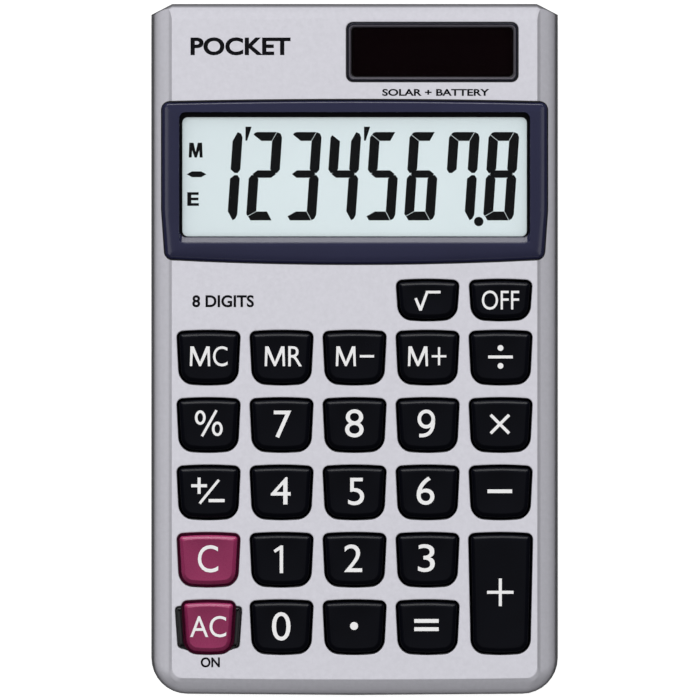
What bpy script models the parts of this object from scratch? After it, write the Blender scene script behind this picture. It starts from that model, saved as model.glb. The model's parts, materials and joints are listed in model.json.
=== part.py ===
"""Pocket calculator with solar and battery power, lying face up.

Lengths below are in millimetres and become metres in each mesh. +Z points out of the key face,
+Y towards the solar cell, and the rear cover's flat back lies on z = 0.
"""

import math

import bmesh
import bpy

MM = 0.001

# Overall size
BODY_WIDTH = 70.0
BODY_LENGTH = 119.0
FACE_Z = 8.0
KEY_TOP_Z = 9.0
CORNER_RADIUS = 6.2
CHAMFER_X = 3.6
CHAMFER_Y = 1.86
BOTTOM_BOW = 0.26
FLANK = 3.2
CORNER_STEPS = 8

# Height of each layer
PANEL_THICKNESS = 0.6
CASE_WALL = 1.65
PARTING_Z = 3.0
PARTING_GAP = 0.3
DECK_TOP_Z = 7.1
DECK_BOTTOM_Z = 6.3
FLOOR_Z = 1.2
BOARD_Z = (2.5, 3.3)
SHEET_Z = (3.5, 4.0)
FLANGE_Z = (5.5, 6.05)
STEM_BOTTOM_Z = 5.2
STEM_RADIUS = 1.7
DOME_TOP_Z = 5.0
GAP = 0.3
TOUCH_GAP = 0.15

# Key grid, from the left column and the top full row
KEY_PITCH_X = 12.55
KEY_PITCH_Y = 11.58
FIRST_COLUMN_X = -25.1
FIRST_ROW_Y = -1.4
TOP_ROW_Y = 8.5
KEY_HOLE = (11.0, 9.47)
TOP_KEY_HOLE = (11.0, 7.23)
PLUS_KEY_HOLE = (11.0, 21.05)
AC_KEY_HOLE = (9.5, 9.47)
AC_KEY_TOP_Z = 8.6
FLANGE_OVERHANG = 0.4
GUARD_RIB_WIDTH = 1.1
GUARD_SLANT = 0.5

# Display frame and the display in it
FRAME_TOP_Z = 8.4
FRAME_BOTTOM_Z = 7.3
FRAME_HALF_TOP = 33.3
FRAME_HALF_BOTTOM = 32.7
FRAME_TAPER_Y = 24.0
FRAME_Y = (15.6, 42.5)
FRAME_BOW_TOP = 0.4
FRAME_BOW_BOTTOM = 0.9
FRAME_BEVEL = 0.7
OPENING_HALF = 29.8
OPENING_Y = (19.35, 39.95)
OPENING_DRAFT = 0.45
OPENING_RAMP = 1.5
WELL_HALF = 30.6
WELL_Y = (17.4, 41.5)
LCD_HALF = 31.2
LCD_Y = (17.3, 41.9)
LCD_LEDGE = 2.6
WINDOW_Z = (6.7, 7.1)
POLARISER_Z = (6.3, 6.45)
FRONT_GLASS_Z = (5.7, 6.15)
REAR_GLASS_Z = (5.1, 5.55)
REFLECTOR_Z = (4.75, 4.95)

# Solar cell
SOLAR_CENTRE = (13.35, 51.2)
SOLAR_HOLE = (29.6, 10.3)
SOLAR_OPENING = (28.0, 8.6)
SOLAR_WELL = (27.6, 8.2)
SOLAR_CELL = (29.4, 10.6)
SOLAR_CELL_Z = (5.0, 6.1)
SOLAR_FRAME_TOP_Z = 8.1

# Fastenings and battery
SCREW_PLACES = ((-30.9, 54.3), (30.9, 54.3), (-27.0, -55.5), (27.0, -55.5))
BOSS_RADIUS = 2.0
POST_RADIUS = 1.1
BATTERY_CENTRE = (-19.5, 50.8)
BATTERY_RADIUS = 5.8
BATTERY_Z = (1.9, 4.95)
BOARD_HALF = 31.0
BOARD_TOP_Y = 20.4

# Colours, as red, green, blue in linear light
SILVER = (0.63, 0.625, 0.67)
GREY_PLASTIC = (0.32, 0.32, 0.34)
NAVY = (0.027, 0.03, 0.058)
KEY_BLACK = (0.012, 0.011, 0.018)
KEY_RED = (0.25, 0.039, 0.105)
COLOURS = {
    # name: (colour, roughness, metallic)
    "brushed_metal": (SILVER, 0.35, 0.8),
    "case_plastic": (GREY_PLASTIC, 0.5, 0.0),
    "frame_plastic": (NAVY, 0.25, 0.0),
    "clear_plastic": ((0.9, 0.92, 0.92), 0.05, 0.0),
    "glass": ((0.75, 0.8, 0.78), 0.05, 0.0),
    "reflector": ((0.62, 0.7, 0.69), 0.4, 0.0),
    "solar": ((0.01, 0.004, 0.005), 0.15, 0.0),
    "key_black": (KEY_BLACK, 0.3, 0.0),
    "key_red": (KEY_RED, 0.3, 0.0),
    "guard_black": ((0.01, 0.01, 0.012), 0.3, 0.0),
    "silicone": ((0.25, 0.26, 0.26), 0.7, 0.0),
    "board": ((0.02, 0.12, 0.05), 0.5, 0.0),
    "epoxy": ((0.01, 0.01, 0.01), 0.45, 0.0),
    "ceramic": ((0.35, 0.25, 0.15), 0.5, 0.0),
    "steel": ((0.6, 0.6, 0.6), 0.3, 1.0),
    "brass": ((0.7, 0.5, 0.2), 0.3, 1.0),
    "lead_red": ((0.5, 0.02, 0.02), 0.5, 0.0),
    "lead_black": ((0.015, 0.015, 0.015), 0.5, 0.0),
}

# Each key: name, column, row, hole size, colour. Row 0 is the short top row.
KEYS = (
    ("key_sqrt", 3, 0, TOP_KEY_HOLE, "key_black"),
    ("key_off", 4, 0, TOP_KEY_HOLE, "key_black"),
    ("key_mc", 0, 1, KEY_HOLE, "key_black"),
    ("key_mr", 1, 1, KEY_HOLE, "key_black"),
    ("key_m_minus", 2, 1, KEY_HOLE, "key_black"),
    ("key_m_plus", 3, 1, KEY_HOLE, "key_black"),
    ("key_divide", 4, 1, KEY_HOLE, "key_black"),
    ("key_percent", 0, 2, KEY_HOLE, "key_black"),
    ("key_7", 1, 2, KEY_HOLE, "key_black"),
    ("key_8", 2, 2, KEY_HOLE, "key_black"),
    ("key_9", 3, 2, KEY_HOLE, "key_black"),
    ("key_multiply", 4, 2, KEY_HOLE, "key_black"),
    ("key_sign", 0, 3, KEY_HOLE, "key_black"),
    ("key_4", 1, 3, KEY_HOLE, "key_black"),
    ("key_5", 2, 3, KEY_HOLE, "key_black"),
    ("key_6", 3, 3, KEY_HOLE, "key_black"),
    ("key_minus", 4, 3, KEY_HOLE, "key_black"),
    ("key_c", 0, 4, KEY_HOLE, "key_red"),
    ("key_1", 1, 4, KEY_HOLE, "key_black"),
    ("key_2", 2, 4, KEY_HOLE, "key_black"),
    ("key_3", 3, 4, KEY_HOLE, "key_black"),
    ("key_ac", 0, 5, AC_KEY_HOLE, "key_red"),
    ("key_0", 1, 5, KEY_HOLE, "key_black"),
    ("key_point", 2, 5, KEY_HOLE, "key_black"),
    ("key_equals", 3, 5, KEY_HOLE, "key_black"),
    ("key_plus", 4, 4.5, PLUS_KEY_HOLE, "key_black"),
)


# ---------------------------------------------------------------- outlines


def key_centre(column, row):
    """Middle of a key's hole; a row of 4.5 lies between the fourth and fifth rows."""
    x = FIRST_COLUMN_X + column * KEY_PITCH_X
    y = TOP_ROW_Y if row == 0 else FIRST_ROW_Y - (row - 1) * KEY_PITCH_Y
    return x, y


def corner_arc(before, corner, after, radius, steps):
    """Points of the arc that rounds a polygon's corner, in order; one point when radius is 0."""
    if radius == 0:
        return [corner]
    to_before = (before[0] - corner[0], before[1] - corner[1])
    to_after = (after[0] - corner[0], after[1] - corner[1])
    angle_before = math.atan2(to_before[1], to_before[0])
    angle_after = math.atan2(to_after[1], to_after[0])
    opening = (angle_before - angle_after) % (2 * math.pi)
    middle = angle_after + opening / 2
    reach = radius / math.sin(opening / 2)
    centre = (corner[0] + reach * math.cos(middle), corner[1] + reach * math.sin(middle))
    start = angle_before + math.pi / 2
    sweep = math.pi - opening
    return [
        (
            centre[0] + radius * math.cos(start + sweep * k / steps),
            centre[1] + radius * math.sin(start + sweep * k / steps),
        )
        for k in range(steps + 1)
    ]


def rounded_polygon(corners, radii, steps):
    """Anticlockwise outline of a polygon with each corner rounded by its own radius."""
    count = len(corners)
    outline = []
    for k in range(count):
        before = corners[k - 1]
        after = corners[(k + 1) % count]
        outline.extend(corner_arc(before, corners[k], after, radii[k], steps))
    return outline


def rounded_rectangle(half_x, low_y, high_y, radius, steps=2, centre_x=0.0):
    left = centre_x - half_x
    right = centre_x + half_x
    corners = [(left, low_y), (right, low_y), (right, high_y), (left, high_y)]
    return rounded_polygon(corners, [radius] * 4, steps)


def centred_rectangle(centre, size, radius, steps=2):
    half_y = size[1] / 2
    return rounded_rectangle(size[0] / 2, centre[1] - half_y, centre[1] + half_y, radius, steps, centre[0])


def circle(centre, radius, count, start=0.0):
    return [
        (
            centre[0] + radius * math.cos(start + 2 * math.pi * k / count),
            centre[1] + radius * math.sin(start + 2 * math.pi * k / count),
        )
        for k in range(count)
    ]


def body_outline(side, top=None, bottom=None):
    """The body's outline, moved in from its widest by side, top and bottom.

    The flank narrows to nothing at the corners, so the rounding and the chamfer shrink with it.
    """
    top = side if top is None else top
    bottom = side if bottom is None else bottom
    half = BODY_WIDTH / 2 - side
    high = BODY_LENGTH / 2 - top
    low = -BODY_LENGTH / 2 + bottom
    radius = max(CORNER_RADIUS - 1.5 * side, 1.2)
    share = max(1 - side / FLANK, 0.06)
    cut_x = CHAMFER_X * share
    cut_y = CHAMFER_Y * share
    corners = [
        (0.0, low),
        (half, low + BOTTOM_BOW),
        (half, high - cut_y),
        (half - cut_x, high),
        (cut_x - half, high),
        (-half, high - cut_y),
        (-half, low + BOTTOM_BOW),
    ]
    return rounded_polygon(corners, [0, radius, 0, 0, 0, 0, radius], CORNER_STEPS)


def key_outline(size, grow=0.0, top_radius=0.9, bottom_radius=2.1):
    """A key's outline round the origin: bowed ends, sides closing a little towards the bottom."""
    half_x = size[0] / 2 + grow
    half_y = size[1] / 2 + grow
    narrow = 0.45
    bow_top = 0.25
    bow_bottom = 0.45
    corners = [
        (0.0, -half_y),
        (half_x - narrow, bow_bottom - half_y),
        (half_x, half_y - bow_top),
        (0.0, half_y),
        (-half_x, half_y - bow_top),
        (narrow - half_x, bow_bottom - half_y),
    ]
    low = bottom_radius + grow
    high = max(top_radius + grow, 0.3)
    outline = []
    for k, (radius, steps) in enumerate([(0, 1), (low, 3), (high, 2), (0, 1), (high, 2), (low, 3)]):
        after = corners[(k + 1) % 6]
        outline.extend(corner_arc(corners[k - 1], corners[k], after, radius, steps))
    return outline


def moved(outline, centre):
    return [(x + centre[0], y + centre[1]) for x, y in outline]


def frame_outline(inset):
    """The display frame's outer outline: sides closing below a shoulder, both ends bowed."""
    top = FRAME_HALF_TOP - inset
    bottom = FRAME_HALF_BOTTOM - inset
    low = FRAME_Y[0] + inset
    high = FRAME_Y[1] - inset
    corners = [
        (0.0, low - FRAME_BOW_BOTTOM),
        (bottom, low),
        (top, FRAME_TAPER_Y),
        (top, high),
        (0.0, high + FRAME_BOW_TOP),
        (-top, high),
        (-top, FRAME_TAPER_Y),
        (-bottom, low),
    ]
    round_off = max(1.2 - inset, 0.3)
    return rounded_polygon(corners, [0, round_off, 0, round_off, 0, round_off, 0, round_off], 2)


def opening_outline(side, low, high, radius):
    """The display opening's outline, with as many points as frame_outline."""
    middle_y = (low + high) / 2
    corners = [
        (0.0, low),
        (side, low),
        (side, middle_y),
        (side, high),
        (0.0, high),
        (-side, high),
        (-side, middle_y),
        (-side, low),
    ]
    return rounded_polygon(corners, [0, radius, 0, radius, 0, radius, 0, radius], 2)


# ---------------------------------------------------------------- solids


def at_height(outline, z):
    return [(x, y, z) for x, y in outline]


def mesh_object(name, bm, origin=(0.0, 0.0, 0.0)):
    """Scales a mesh drawn in millimetres to metres, puts its origin at a point and links it."""
    bmesh.ops.recalc_face_normals(bm, faces=bm.faces)
    for vertex in bm.verts:
        vertex.co.x = (vertex.co.x - origin[0]) * MM
        vertex.co.y = (vertex.co.y - origin[1]) * MM
        vertex.co.z = (vertex.co.z - origin[2]) * MM
    mesh = bpy.data.meshes.new(name)
    bm.to_mesh(mesh)
    bm.free()
    thing = bpy.data.objects.new(name, mesh)
    thing.location = [value * MM for value in origin]
    bpy.context.collection.objects.link(thing)
    return thing


def add_loft(bm, rings, closed=False):
    """Joins rings of equal length side to side, and either caps both ends or joins last to first."""
    loops = [[bm.verts.new(point) for point in ring] for ring in rings]
    pairs = list(zip(loops, loops[1:]))
    if closed:
        pairs.append((loops[-1], loops[0]))
    else:
        bm.faces.new(reversed(loops[0]))
        bm.faces.new(loops[-1])
    for low, high in pairs:
        for k in range(len(low)):
            after = (k + 1) % len(low)
            bm.faces.new((low[k], low[after], high[after], high[k]))


def loft(name, rings, closed=False, origin=(0.0, 0.0, 0.0)):
    bm = bmesh.new()
    add_loft(bm, rings, closed)
    return mesh_object(name, bm, origin)


def prisms(name, parts):
    """One object of several upright prisms, each an outline with its lowest and highest z."""
    bm = bmesh.new()
    for outline, low, high in parts:
        add_loft(bm, [at_height(outline, low), at_height(outline, high)])
    return mesh_object(name, bm)


def turned(name, places, profile, count):
    """One object of equal turned pieces: the profile lists z and radius from one end to the other."""
    bm = bmesh.new()
    for place in places:
        add_loft(bm, [at_height(circle(place, radius, count), z) for z, radius in profile])
    return mesh_object(name, bm)


def combine(target, tool, operation):
    """Adds or cuts with another object, which stays in the file as a hidden wire guide."""
    tool.hide_render = True
    tool.display_type = "WIRE"
    step = target.modifiers.new(tool.name, "BOOLEAN")
    step.operation = operation
    step.object = tool
    step.solver = "EXACT"


def finish(thing, slot, smooth=False):
    """Gives a sub-part its own material, and rounds the shading of a round one."""
    colour, roughness, metallic = COLOURS[slot]
    material = bpy.data.materials.new(thing.name)
    material.use_nodes = True
    shader = material.node_tree.nodes["Principled BSDF"]
    shader.inputs["Base Color"].default_value = (*colour, 1.0)
    shader.inputs["Roughness"].default_value = roughness
    shader.inputs["Metallic"].default_value = metallic
    material.diffuse_color = (*colour, 1.0)
    thing.data.materials.append(material)
    if smooth:
        thing.data.shade_smooth()
        thing.data.set_sharp_from_angle(angle=math.radians(35))


def crossing(column, row):
    """The point between four keys, right of a column and below a row."""
    x, y = key_centre(column, row)
    return x + KEY_PITCH_X / 2, y - KEY_PITCH_Y / 2


POST_CROSSINGS = ((0, 1), (3, 1), (1, 2), (3, 3), (0, 4), (2, 4))
POST_PLACES = [crossing(column, row) for column, row in POST_CROSSINGS]


# ---------------------------------------------------------------- case


def key_holes(grow):
    """Every key's hole as an outline in place, grown or shrunk evenly."""
    return [moved(key_outline(size, grow), key_centre(column, row)) for _, column, row, size, _ in KEYS]


def guard_ribs(grow):
    """The two ribs beside the AC key, as outlines."""
    x, y = key_centre(0, 5)
    inner = AC_KEY_HOLE[0] / 2
    ribs = []
    for side in (-1, 1):
        near = x + side * (inner - grow)
        far = x + side * (inner + GUARD_RIB_WIDTH + grow)
        low = y - 3.5 - grow
        high = y + 3.4 + grow
        slant = side * GUARD_SLANT
        corners = [(near - slant, low), (far - slant, low), (far, high), (near, high)]
        ribs.append(corners if side > 0 else corners[::-1])
    return ribs


def front_panel():
    """Thin metal front plate: flat face, bevelled flanks and bottom, and a rounded top end."""
    outer = [
        # z, then how far in from the sides, the top end and the bottom end
        (FACE_Z, FLANK, 2.2, 2.8),
        (7.6, 2.05, 0.95, 1.8),
        (7.15, 0.72, 0.45, 0.62),
        (6.95, 0.45, 0.32, 0.42),
        (6.55, 0.4, 0.3, 0.38),
    ]
    inner = [
        (FACE_Z - PANEL_THICKNESS, FLANK + 0.1, 2.5, 2.9),
        (7.0, 2.3, 1.4, 2.1),
        (6.6, 1.1, 0.9, 1.0),
        (6.5, 0.55, 0.45, 0.5),
    ]
    rings = [at_height(body_outline(*step[1:]), step[0]) for step in outer + inner[::-1]]
    panel = loft("front_panel", rings)
    below = FACE_Z - 2.0
    above = FACE_Z + 1.0
    key_cuts = [(outline, below, above) for outline in key_holes(0.0)]
    solar = centred_rectangle(SOLAR_CENTRE, SOLAR_HOLE, 1.2)
    display = frame_outline(-0.2)
    combine(panel, prisms("panel_holes", key_cuts + [(solar, below, above)]), "DIFFERENCE")
    combine(panel, prisms("panel_display_hole", [(display, FRAME_BOTTOM_Z - 1.6, above)]), "DIFFERENCE")
    slots = [(outline, below, above) for outline in guard_ribs(0.15)]
    combine(panel, prisms("panel_guard_slots", slots), "DIFFERENCE")
    finish(panel, "brushed_metal")


def upper_case():
    """Plastic shell under the panel: side walls, a deck with key holes and wells, bosses and posts."""
    rim_z = PARTING_Z + PARTING_GAP
    wall = CASE_WALL
    profile = [
        # z, then how far in from the sides, the top end and the bottom end
        (DECK_TOP_Z, 3.7, 2.9, 3.3),
        (6.35, 1.4, 1.2, 1.35),
        (6.2, 0.9, 0.75, 0.85),
        (6.2, 0.3, 0.25, 0.28),
        (5.85, 0.0, 0.0, 0.0),
        (rim_z, 0.0, 0.0, 0.0),
        (rim_z, wall, wall, wall),
        (DECK_BOTTOM_Z - 0.5, wall, wall, wall),
        (DECK_BOTTOM_Z, 2.2, 2.2, 2.2),
    ]
    case = loft("upper_case", [at_height(body_outline(*step[1:]), step[0]) for step in profile])

    deck_middle = (DECK_TOP_Z + DECK_BOTTOM_Z) / 2
    post = [
        (deck_middle, POST_RADIUS),
        (BOARD_Z[1] + 0.2, POST_RADIUS),
        (BOARD_Z[1] + 0.2, 0.65),
        (BOARD_Z[0] - 0.2, 0.65),
        (BOARD_Z[0] - 0.2, 1.15),
        (BOARD_Z[0] - 0.8, 0.9),
    ]
    combine(case, turned("board_posts", POST_PLACES, post, 8), "UNION")
    boss = [(deck_middle, BOSS_RADIUS), (2.5, BOSS_RADIUS)]
    combine(case, turned("screw_bosses", SCREW_PLACES, boss, 12), "UNION")
    combine(case, turned("boss_bores", SCREW_PLACES, [(2.0, 1.15), (5.7, 1.15)], 8), "DIFFERENCE")

    below = DECK_BOTTOM_Z - 1.0
    above = DECK_TOP_Z + 1.0
    solar = centred_rectangle(SOLAR_CENTRE, (SOLAR_WELL[0] + 0.4, SOLAR_WELL[1] + 0.4), 0.8)
    well = rounded_rectangle(WELL_HALF, WELL_Y[0], WELL_Y[1], 0.8)
    guard = moved(guard_seat(0.2), key_centre(0, 5))
    holes = [
        outline for key, outline in zip(KEYS, key_holes(0.05)) if key[0] != "key_ac"
    ]
    cuts = [(outline, below, above) for outline in holes + [solar, well, guard]]
    combine(case, prisms("deck_holes", cuts), "DIFFERENCE")
    finish(case, "case_plastic")


def rear_cover():
    """Plastic back: flat floor, tapered edge, a tongue inside the case wall, seats and supports."""
    profile = [
        (0.0, 1.8),
        (0.45, 0.95),
        (1.3, 0.45),
        (PARTING_Z, 0.3),
        (PARTING_Z, 1.95),
        (PARTING_Z + 1.0, 1.95),
        (PARTING_Z + 1.0, 2.6),
        (FLOOR_Z, 2.6),
    ]
    cover = loft("rear_cover", [at_height(body_outline(inset), z) for z, inset in profile])

    seat_top = 2.2
    seat = [(FLOOR_Z / 2, 2.8), (seat_top, 2.8)]
    combine(cover, turned("screw_seats", SCREW_PLACES, seat, 12), "UNION")
    boss_clearance = BOSS_RADIUS + 0.3
    holes = [
        (-1.0, 2.15),
        (FLOOR_Z, 2.15),
        (FLOOR_Z, 1.15),
        (seat_top, 1.15),
        (seat_top, boss_clearance),
        (5.0, boss_clearance),
    ]
    combine(cover, turned("screw_holes", SCREW_PLACES, holes, 12), "DIFFERENCE")

    cradle = turned("cradle_wall", [BATTERY_CENTRE], [(FLOOR_Z / 2, 6.9), (3.6, 6.9)], 20)
    combine(cover, cradle, "UNION")
    cradle_inside = turned("cradle_inside", [BATTERY_CENTRE], [(FLOOR_Z, 6.1), (5.0, 6.1)], 20)
    combine(cover, cradle_inside, "DIFFERENCE")
    slot_half = 2.0
    x, y = BATTERY_CENTRE
    slot = rounded_rectangle(slot_half, y - 8.0, y, 0.0, 0, x)
    combine(cover, prisms("cradle_slot", [(slot, FLOOR_Z, 5.0)]), "DIFFERENCE")

    ribs = []
    for side in (-1, 1):
        rib = rounded_rectangle(0.4, 24.0, 38.0, 0.2, 1, side * 24.0)
        ribs.append((rib, FLOOR_Z / 2, REFLECTOR_Z[0] - 0.2))
    combine(cover, prisms("display_ribs", ribs), "UNION")
    rests = [(side * KEY_PITCH_X * 1.5, y) for side in (-1, 1) for y in (-18.8, 3.0)]
    rest = [(FLOOR_Z / 2, 1.2), (BOARD_Z[0] - 0.25, 1.0)]
    combine(cover, turned("board_rests", rests, rest, 8), "UNION")
    finish(cover, "case_plastic")


def guard_seat(grow):
    """The guard's flat ring, as an outline round the AC key's centre."""
    return rounded_rectangle(6.1 + grow, -5.45 - grow, 5.35 + grow, 1.5, 2)


def ac_key_guard():
    """Flat ring set in the case deck, with a rib on each side of the AC key."""
    centre = key_centre(0, 5)
    ring_z = (DECK_BOTTOM_Z + 0.2, DECK_TOP_Z - 0.1)
    guard = prisms("ac_key_guard", [(moved(guard_seat(0.0), centre), *ring_z)])
    ribs = [(outline, DECK_BOTTOM_Z + 0.4, KEY_TOP_Z) for outline in guard_ribs(-0.05)]
    combine(guard, prisms("guard_ribs", ribs), "UNION")
    opening = [(moved(key_outline(AC_KEY_HOLE), centre), DECK_BOTTOM_Z - 1.0, KEY_TOP_Z + 1.0)]
    combine(guard, prisms("guard_opening", opening), "DIFFERENCE")
    finish(guard, "guard_black")


# ---------------------------------------------------------------- keys


def key(name, column, row, size, slot):
    """One key: a stem on the rubber dome, a flange under the deck and a cap through both holes."""
    x, y = key_centre(column, row)
    top = AC_KEY_TOP_Z if name == "key_ac" else KEY_TOP_Z
    flange = key_outline(size, FLANGE_OVERHANG, 1.4, 1.4)
    cap = key_outline(size, -GAP)
    stem = circle((0.0, 0.0), STEM_RADIUS, len(cap), -math.pi / 2)
    steps = [
        (STEM_BOTTOM_Z, stem),
        (FLANGE_Z[0], stem),
        (FLANGE_Z[0], flange),
        (FLANGE_Z[1], flange),
        (FLANGE_Z[1], cap),
        (top - 0.45, cap),
        (top - 0.12, key_outline(size, -GAP - 0.18)),
        (top, key_outline(size, -GAP - 0.5)),
    ]
    rings = [at_height(moved(outline, (x, y)), z) for z, outline in steps]
    thing = loft(name, rings, origin=(x, y, FLANGE_Z[0]))
    finish(thing, slot, smooth=True)


def rubber_keypad():
    """Silicone sheet with a hollow dome and a contact pill under each key."""
    low = key_centre(0, 5)[1] - 5.2
    high = key_centre(0, 0)[1] + 4.6
    sheet = rounded_rectangle(BOARD_HALF - 0.1, low, high, 2.0)
    keypad = prisms("rubber_keypad", [(sheet, *SHEET_Z)])
    places = [key_centre(column, row) for _, column, row, _, _ in KEYS]
    combine(keypad, turned("dome_holes", places, [(3.0, 2.9), (4.5, 2.9)], 8), "DIFFERENCE")
    combine(keypad, turned("post_holes", POST_PLACES, [(3.0, 1.4), (4.5, 1.4)], 8), "DIFFERENCE")
    rim_z = SHEET_Z[0] + 0.15
    dome = [(DOME_TOP_Z, 1.9), (SHEET_Z[1], 3.2), (rim_z, 3.2), (rim_z, 2.7), (DOME_TOP_Z - 0.8, 1.3)]
    combine(keypad, turned("domes", places, dome, 8), "UNION")
    finish(keypad, "silicone")


# ---------------------------------------------------------------- display and solar cell


def display_frame():
    """Frame proud of the panel, its outer edge bevelled, its opening drafted with a ramp below."""
    bevel = FRAME_BEVEL
    side = OPENING_HALF
    low, high = OPENING_Y
    draft = OPENING_DRAFT
    foot = opening_outline(side, low, high, 0.5)
    mouth = opening_outline(side + draft, low - OPENING_RAMP, high + draft, 0.8)
    rings = [
        at_height(frame_outline(0.0), FRAME_BOTTOM_Z),
        at_height(frame_outline(0.0), FRAME_TOP_Z - 0.7),
        at_height(frame_outline(bevel * 0.35), FRAME_TOP_Z - 0.3),
        at_height(frame_outline(bevel), FRAME_TOP_Z),
        at_height(mouth, FRAME_TOP_Z),
        at_height(foot, FRAME_BOTTOM_Z + 0.15),
        at_height(foot, FRAME_BOTTOM_Z),
    ]
    frame = loft("display_frame", rings, closed=True)
    finish(frame, "frame_plastic")


def plate(name, half_x, span_y, span_z, slot, radius=0.4, centre_x=0.0):
    outline = rounded_rectangle(half_x, span_y[0], span_y[1], radius, 1, centre_x)
    thing = prisms(name, [(outline, *span_z)])
    finish(thing, slot)
    return thing


def display():
    """Clear window, then the liquid-crystal stack under it and its rubber connector."""
    window_y = (WELL_Y[0] + GAP, WELL_Y[1] - GAP)
    plate("display_window", WELL_HALF - GAP, window_y, WINDOW_Z, "clear_plastic")
    plate("lcd_polariser", LCD_HALF - 1.2, window_y, POLARISER_Z, "glass")
    plate("lcd_front_glass", LCD_HALF, LCD_Y, FRONT_GLASS_Z, "glass", 0.1)
    rear_y = (LCD_Y[0] + LCD_LEDGE, LCD_Y[1])
    plate("lcd_rear_glass", LCD_HALF, rear_y, REAR_GLASS_Z, "glass", 0.1)
    plate("lcd_reflector", LCD_HALF - 0.4, rear_y, REFLECTOR_Z, "reflector")
    strip_y = (LCD_Y[0] + 0.4, LCD_Y[0] + LCD_LEDGE - 0.4)
    strip_z = (BOARD_Z[1] + TOUCH_GAP, FRONT_GLASS_Z[0] - TOUCH_GAP)
    plate("lcd_connector", LCD_HALF - 3.0, strip_y, strip_z, "silicone", 0.1)


def solar():
    """Thin frame flush with the panel, clear window in the deck and the cell under it."""
    x, y = SOLAR_CENTRE
    outer = centred_rectangle(SOLAR_CENTRE, (SOLAR_HOLE[0] - 0.4, SOLAR_HOLE[1] - 0.4), 1.0)
    lip = centred_rectangle(SOLAR_CENTRE, (SOLAR_HOLE[0] - 0.7, SOLAR_HOLE[1] - 0.7), 0.9)
    mouth = centred_rectangle(SOLAR_CENTRE, (SOLAR_OPENING[0] + 0.3, SOLAR_OPENING[1] + 0.3), 0.7)
    foot = centred_rectangle(SOLAR_CENTRE, (SOLAR_OPENING[0] - 0.2, SOLAR_OPENING[1] - 0.2), 0.5)
    rings = [
        at_height(outer, FRAME_BOTTOM_Z),
        at_height(outer, SOLAR_FRAME_TOP_Z - 0.12),
        at_height(lip, SOLAR_FRAME_TOP_Z),
        at_height(mouth, SOLAR_FRAME_TOP_Z),
        at_height(foot, FRAME_BOTTOM_Z),
    ]
    frame = loft("solar_frame", rings, closed=True)
    finish(frame, "frame_plastic")
    span = (y - SOLAR_WELL[1] / 2, y + SOLAR_WELL[1] / 2)
    plate("solar_window", SOLAR_WELL[0] / 2, span, (6.4, DECK_TOP_Z), "clear_plastic", 0.5, x)
    span = (y - SOLAR_CELL[1] / 2, y + SOLAR_CELL[1] / 2)
    plate("solar_cell", SOLAR_CELL[0] / 2, span, SOLAR_CELL_Z, "solar", 0.1, x)


# ---------------------------------------------------------------- inside


def main_board():
    """Circuit board from below the last key row to under the display's ledge."""
    low = key_centre(0, 5)[1] - 5.4
    outline = rounded_rectangle(BOARD_HALF, low, BOARD_TOP_Y, 1.5)
    board = prisms("main_board", [(outline, *BOARD_Z)])
    combine(board, turned("pin_holes", POST_PLACES, [(2.0, 0.95), (4.0, 0.95)], 8), "DIFFERENCE")
    finish(board, "board")


def board_components():
    """Chip under a drop of epoxy, two capacitors and a diode, all on the board's underside."""
    under = BOARD_Z[0] - 0.15
    drop = [(under, 4.6), (under - 0.45, 3.9), (under - 0.75, 2.0)]
    chip = turned("controller_chip", [(0.0, 8.0)], drop, 16)
    finish(chip, "epoxy", smooth=True)
    for name, x in (("filter_capacitor_left", -14.0), ("filter_capacitor_right", 14.0)):
        plate(name, 1.0, (12.0, 13.3), (under - 0.8, under), "ceramic", 0.15, x)
    plate("regulator_diode", 1.7, (15.5, 16.9), (under - 0.75, under), "epoxy", 0.3, 14.0)


def battery():
    """Button cell in its cradle, a flat spring contact under it and an angled one over it."""
    x, y = BATTERY_CENTRE
    low, high = BATTERY_Z
    shape = [
        (low, BATTERY_RADIUS - 1.1),
        (low + 0.35, BATTERY_RADIUS - 0.9),
        (low + 0.35, BATTERY_RADIUS - 0.25),
        (low + 0.6, BATTERY_RADIUS),
        (high - 0.15, BATTERY_RADIUS),
        (high, BATTERY_RADIUS - 0.2),
    ]
    finish(turned("button_cell", [BATTERY_CENTRE], shape, 24), "steel", smooth=True)
    strip = (FLOOR_Z + 0.15, FLOOR_Z + 0.4)
    plate("battery_contact_negative", 1.5, (y - 8.6, y + 4.0), strip, "brass", 0.3, x)
    over = high + 0.15
    thick = 0.25
    reach = x + 7.2
    side_view = [
        (x - 3.0, over),
        (reach, over),
        (reach, 2.2),
        (reach + thick, 2.2),
        (reach + thick, over + thick),
        (x - 3.0, over + thick),
    ]
    rings = [[(px, y + offset, pz) for px, pz in side_view] for offset in (-1.6, 1.6)]
    finish(loft("battery_contact_positive", rings), "brass")


def lead(name, route, slot):
    """A thin insulated wire through the route's points."""
    curve = bpy.data.curves.new(name, "CURVE")
    curve.dimensions = "3D"
    curve.bevel_depth = 0.35 * MM
    curve.bevel_resolution = 2
    curve.use_fill_caps = True
    spline = curve.splines.new("POLY")
    spline.points.add(len(route) - 1)
    for point, place in zip(spline.points, route):
        point.co = (place[0] * MM, place[1] * MM, place[2] * MM, 1.0)
    thing = bpy.data.objects.new(name, curve)
    bpy.context.collection.objects.link(thing)
    finish(thing, slot)


def smooth_route(points, steps=2):
    """Points along a smooth curve through the given ones."""
    route = []
    last = len(points) - 1
    for k in range(last):
        before = points[max(k - 1, 0)]
        start = points[k]
        end = points[k + 1]
        after = points[min(k + 2, last)]
        for step in range(steps):
            t = step / steps
            route.append(
                tuple(
                    0.5
                    * (
                        2 * b
                        + (c - a) * t
                        + (2 * a - 5 * b + 4 * c - d) * t**2
                        + (3 * b - a - 3 * c + d) * t**3
                    )
                    for a, b, c, d in zip(before, start, end, after)
                )
            )
    route.append(points[last])
    return route


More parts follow.
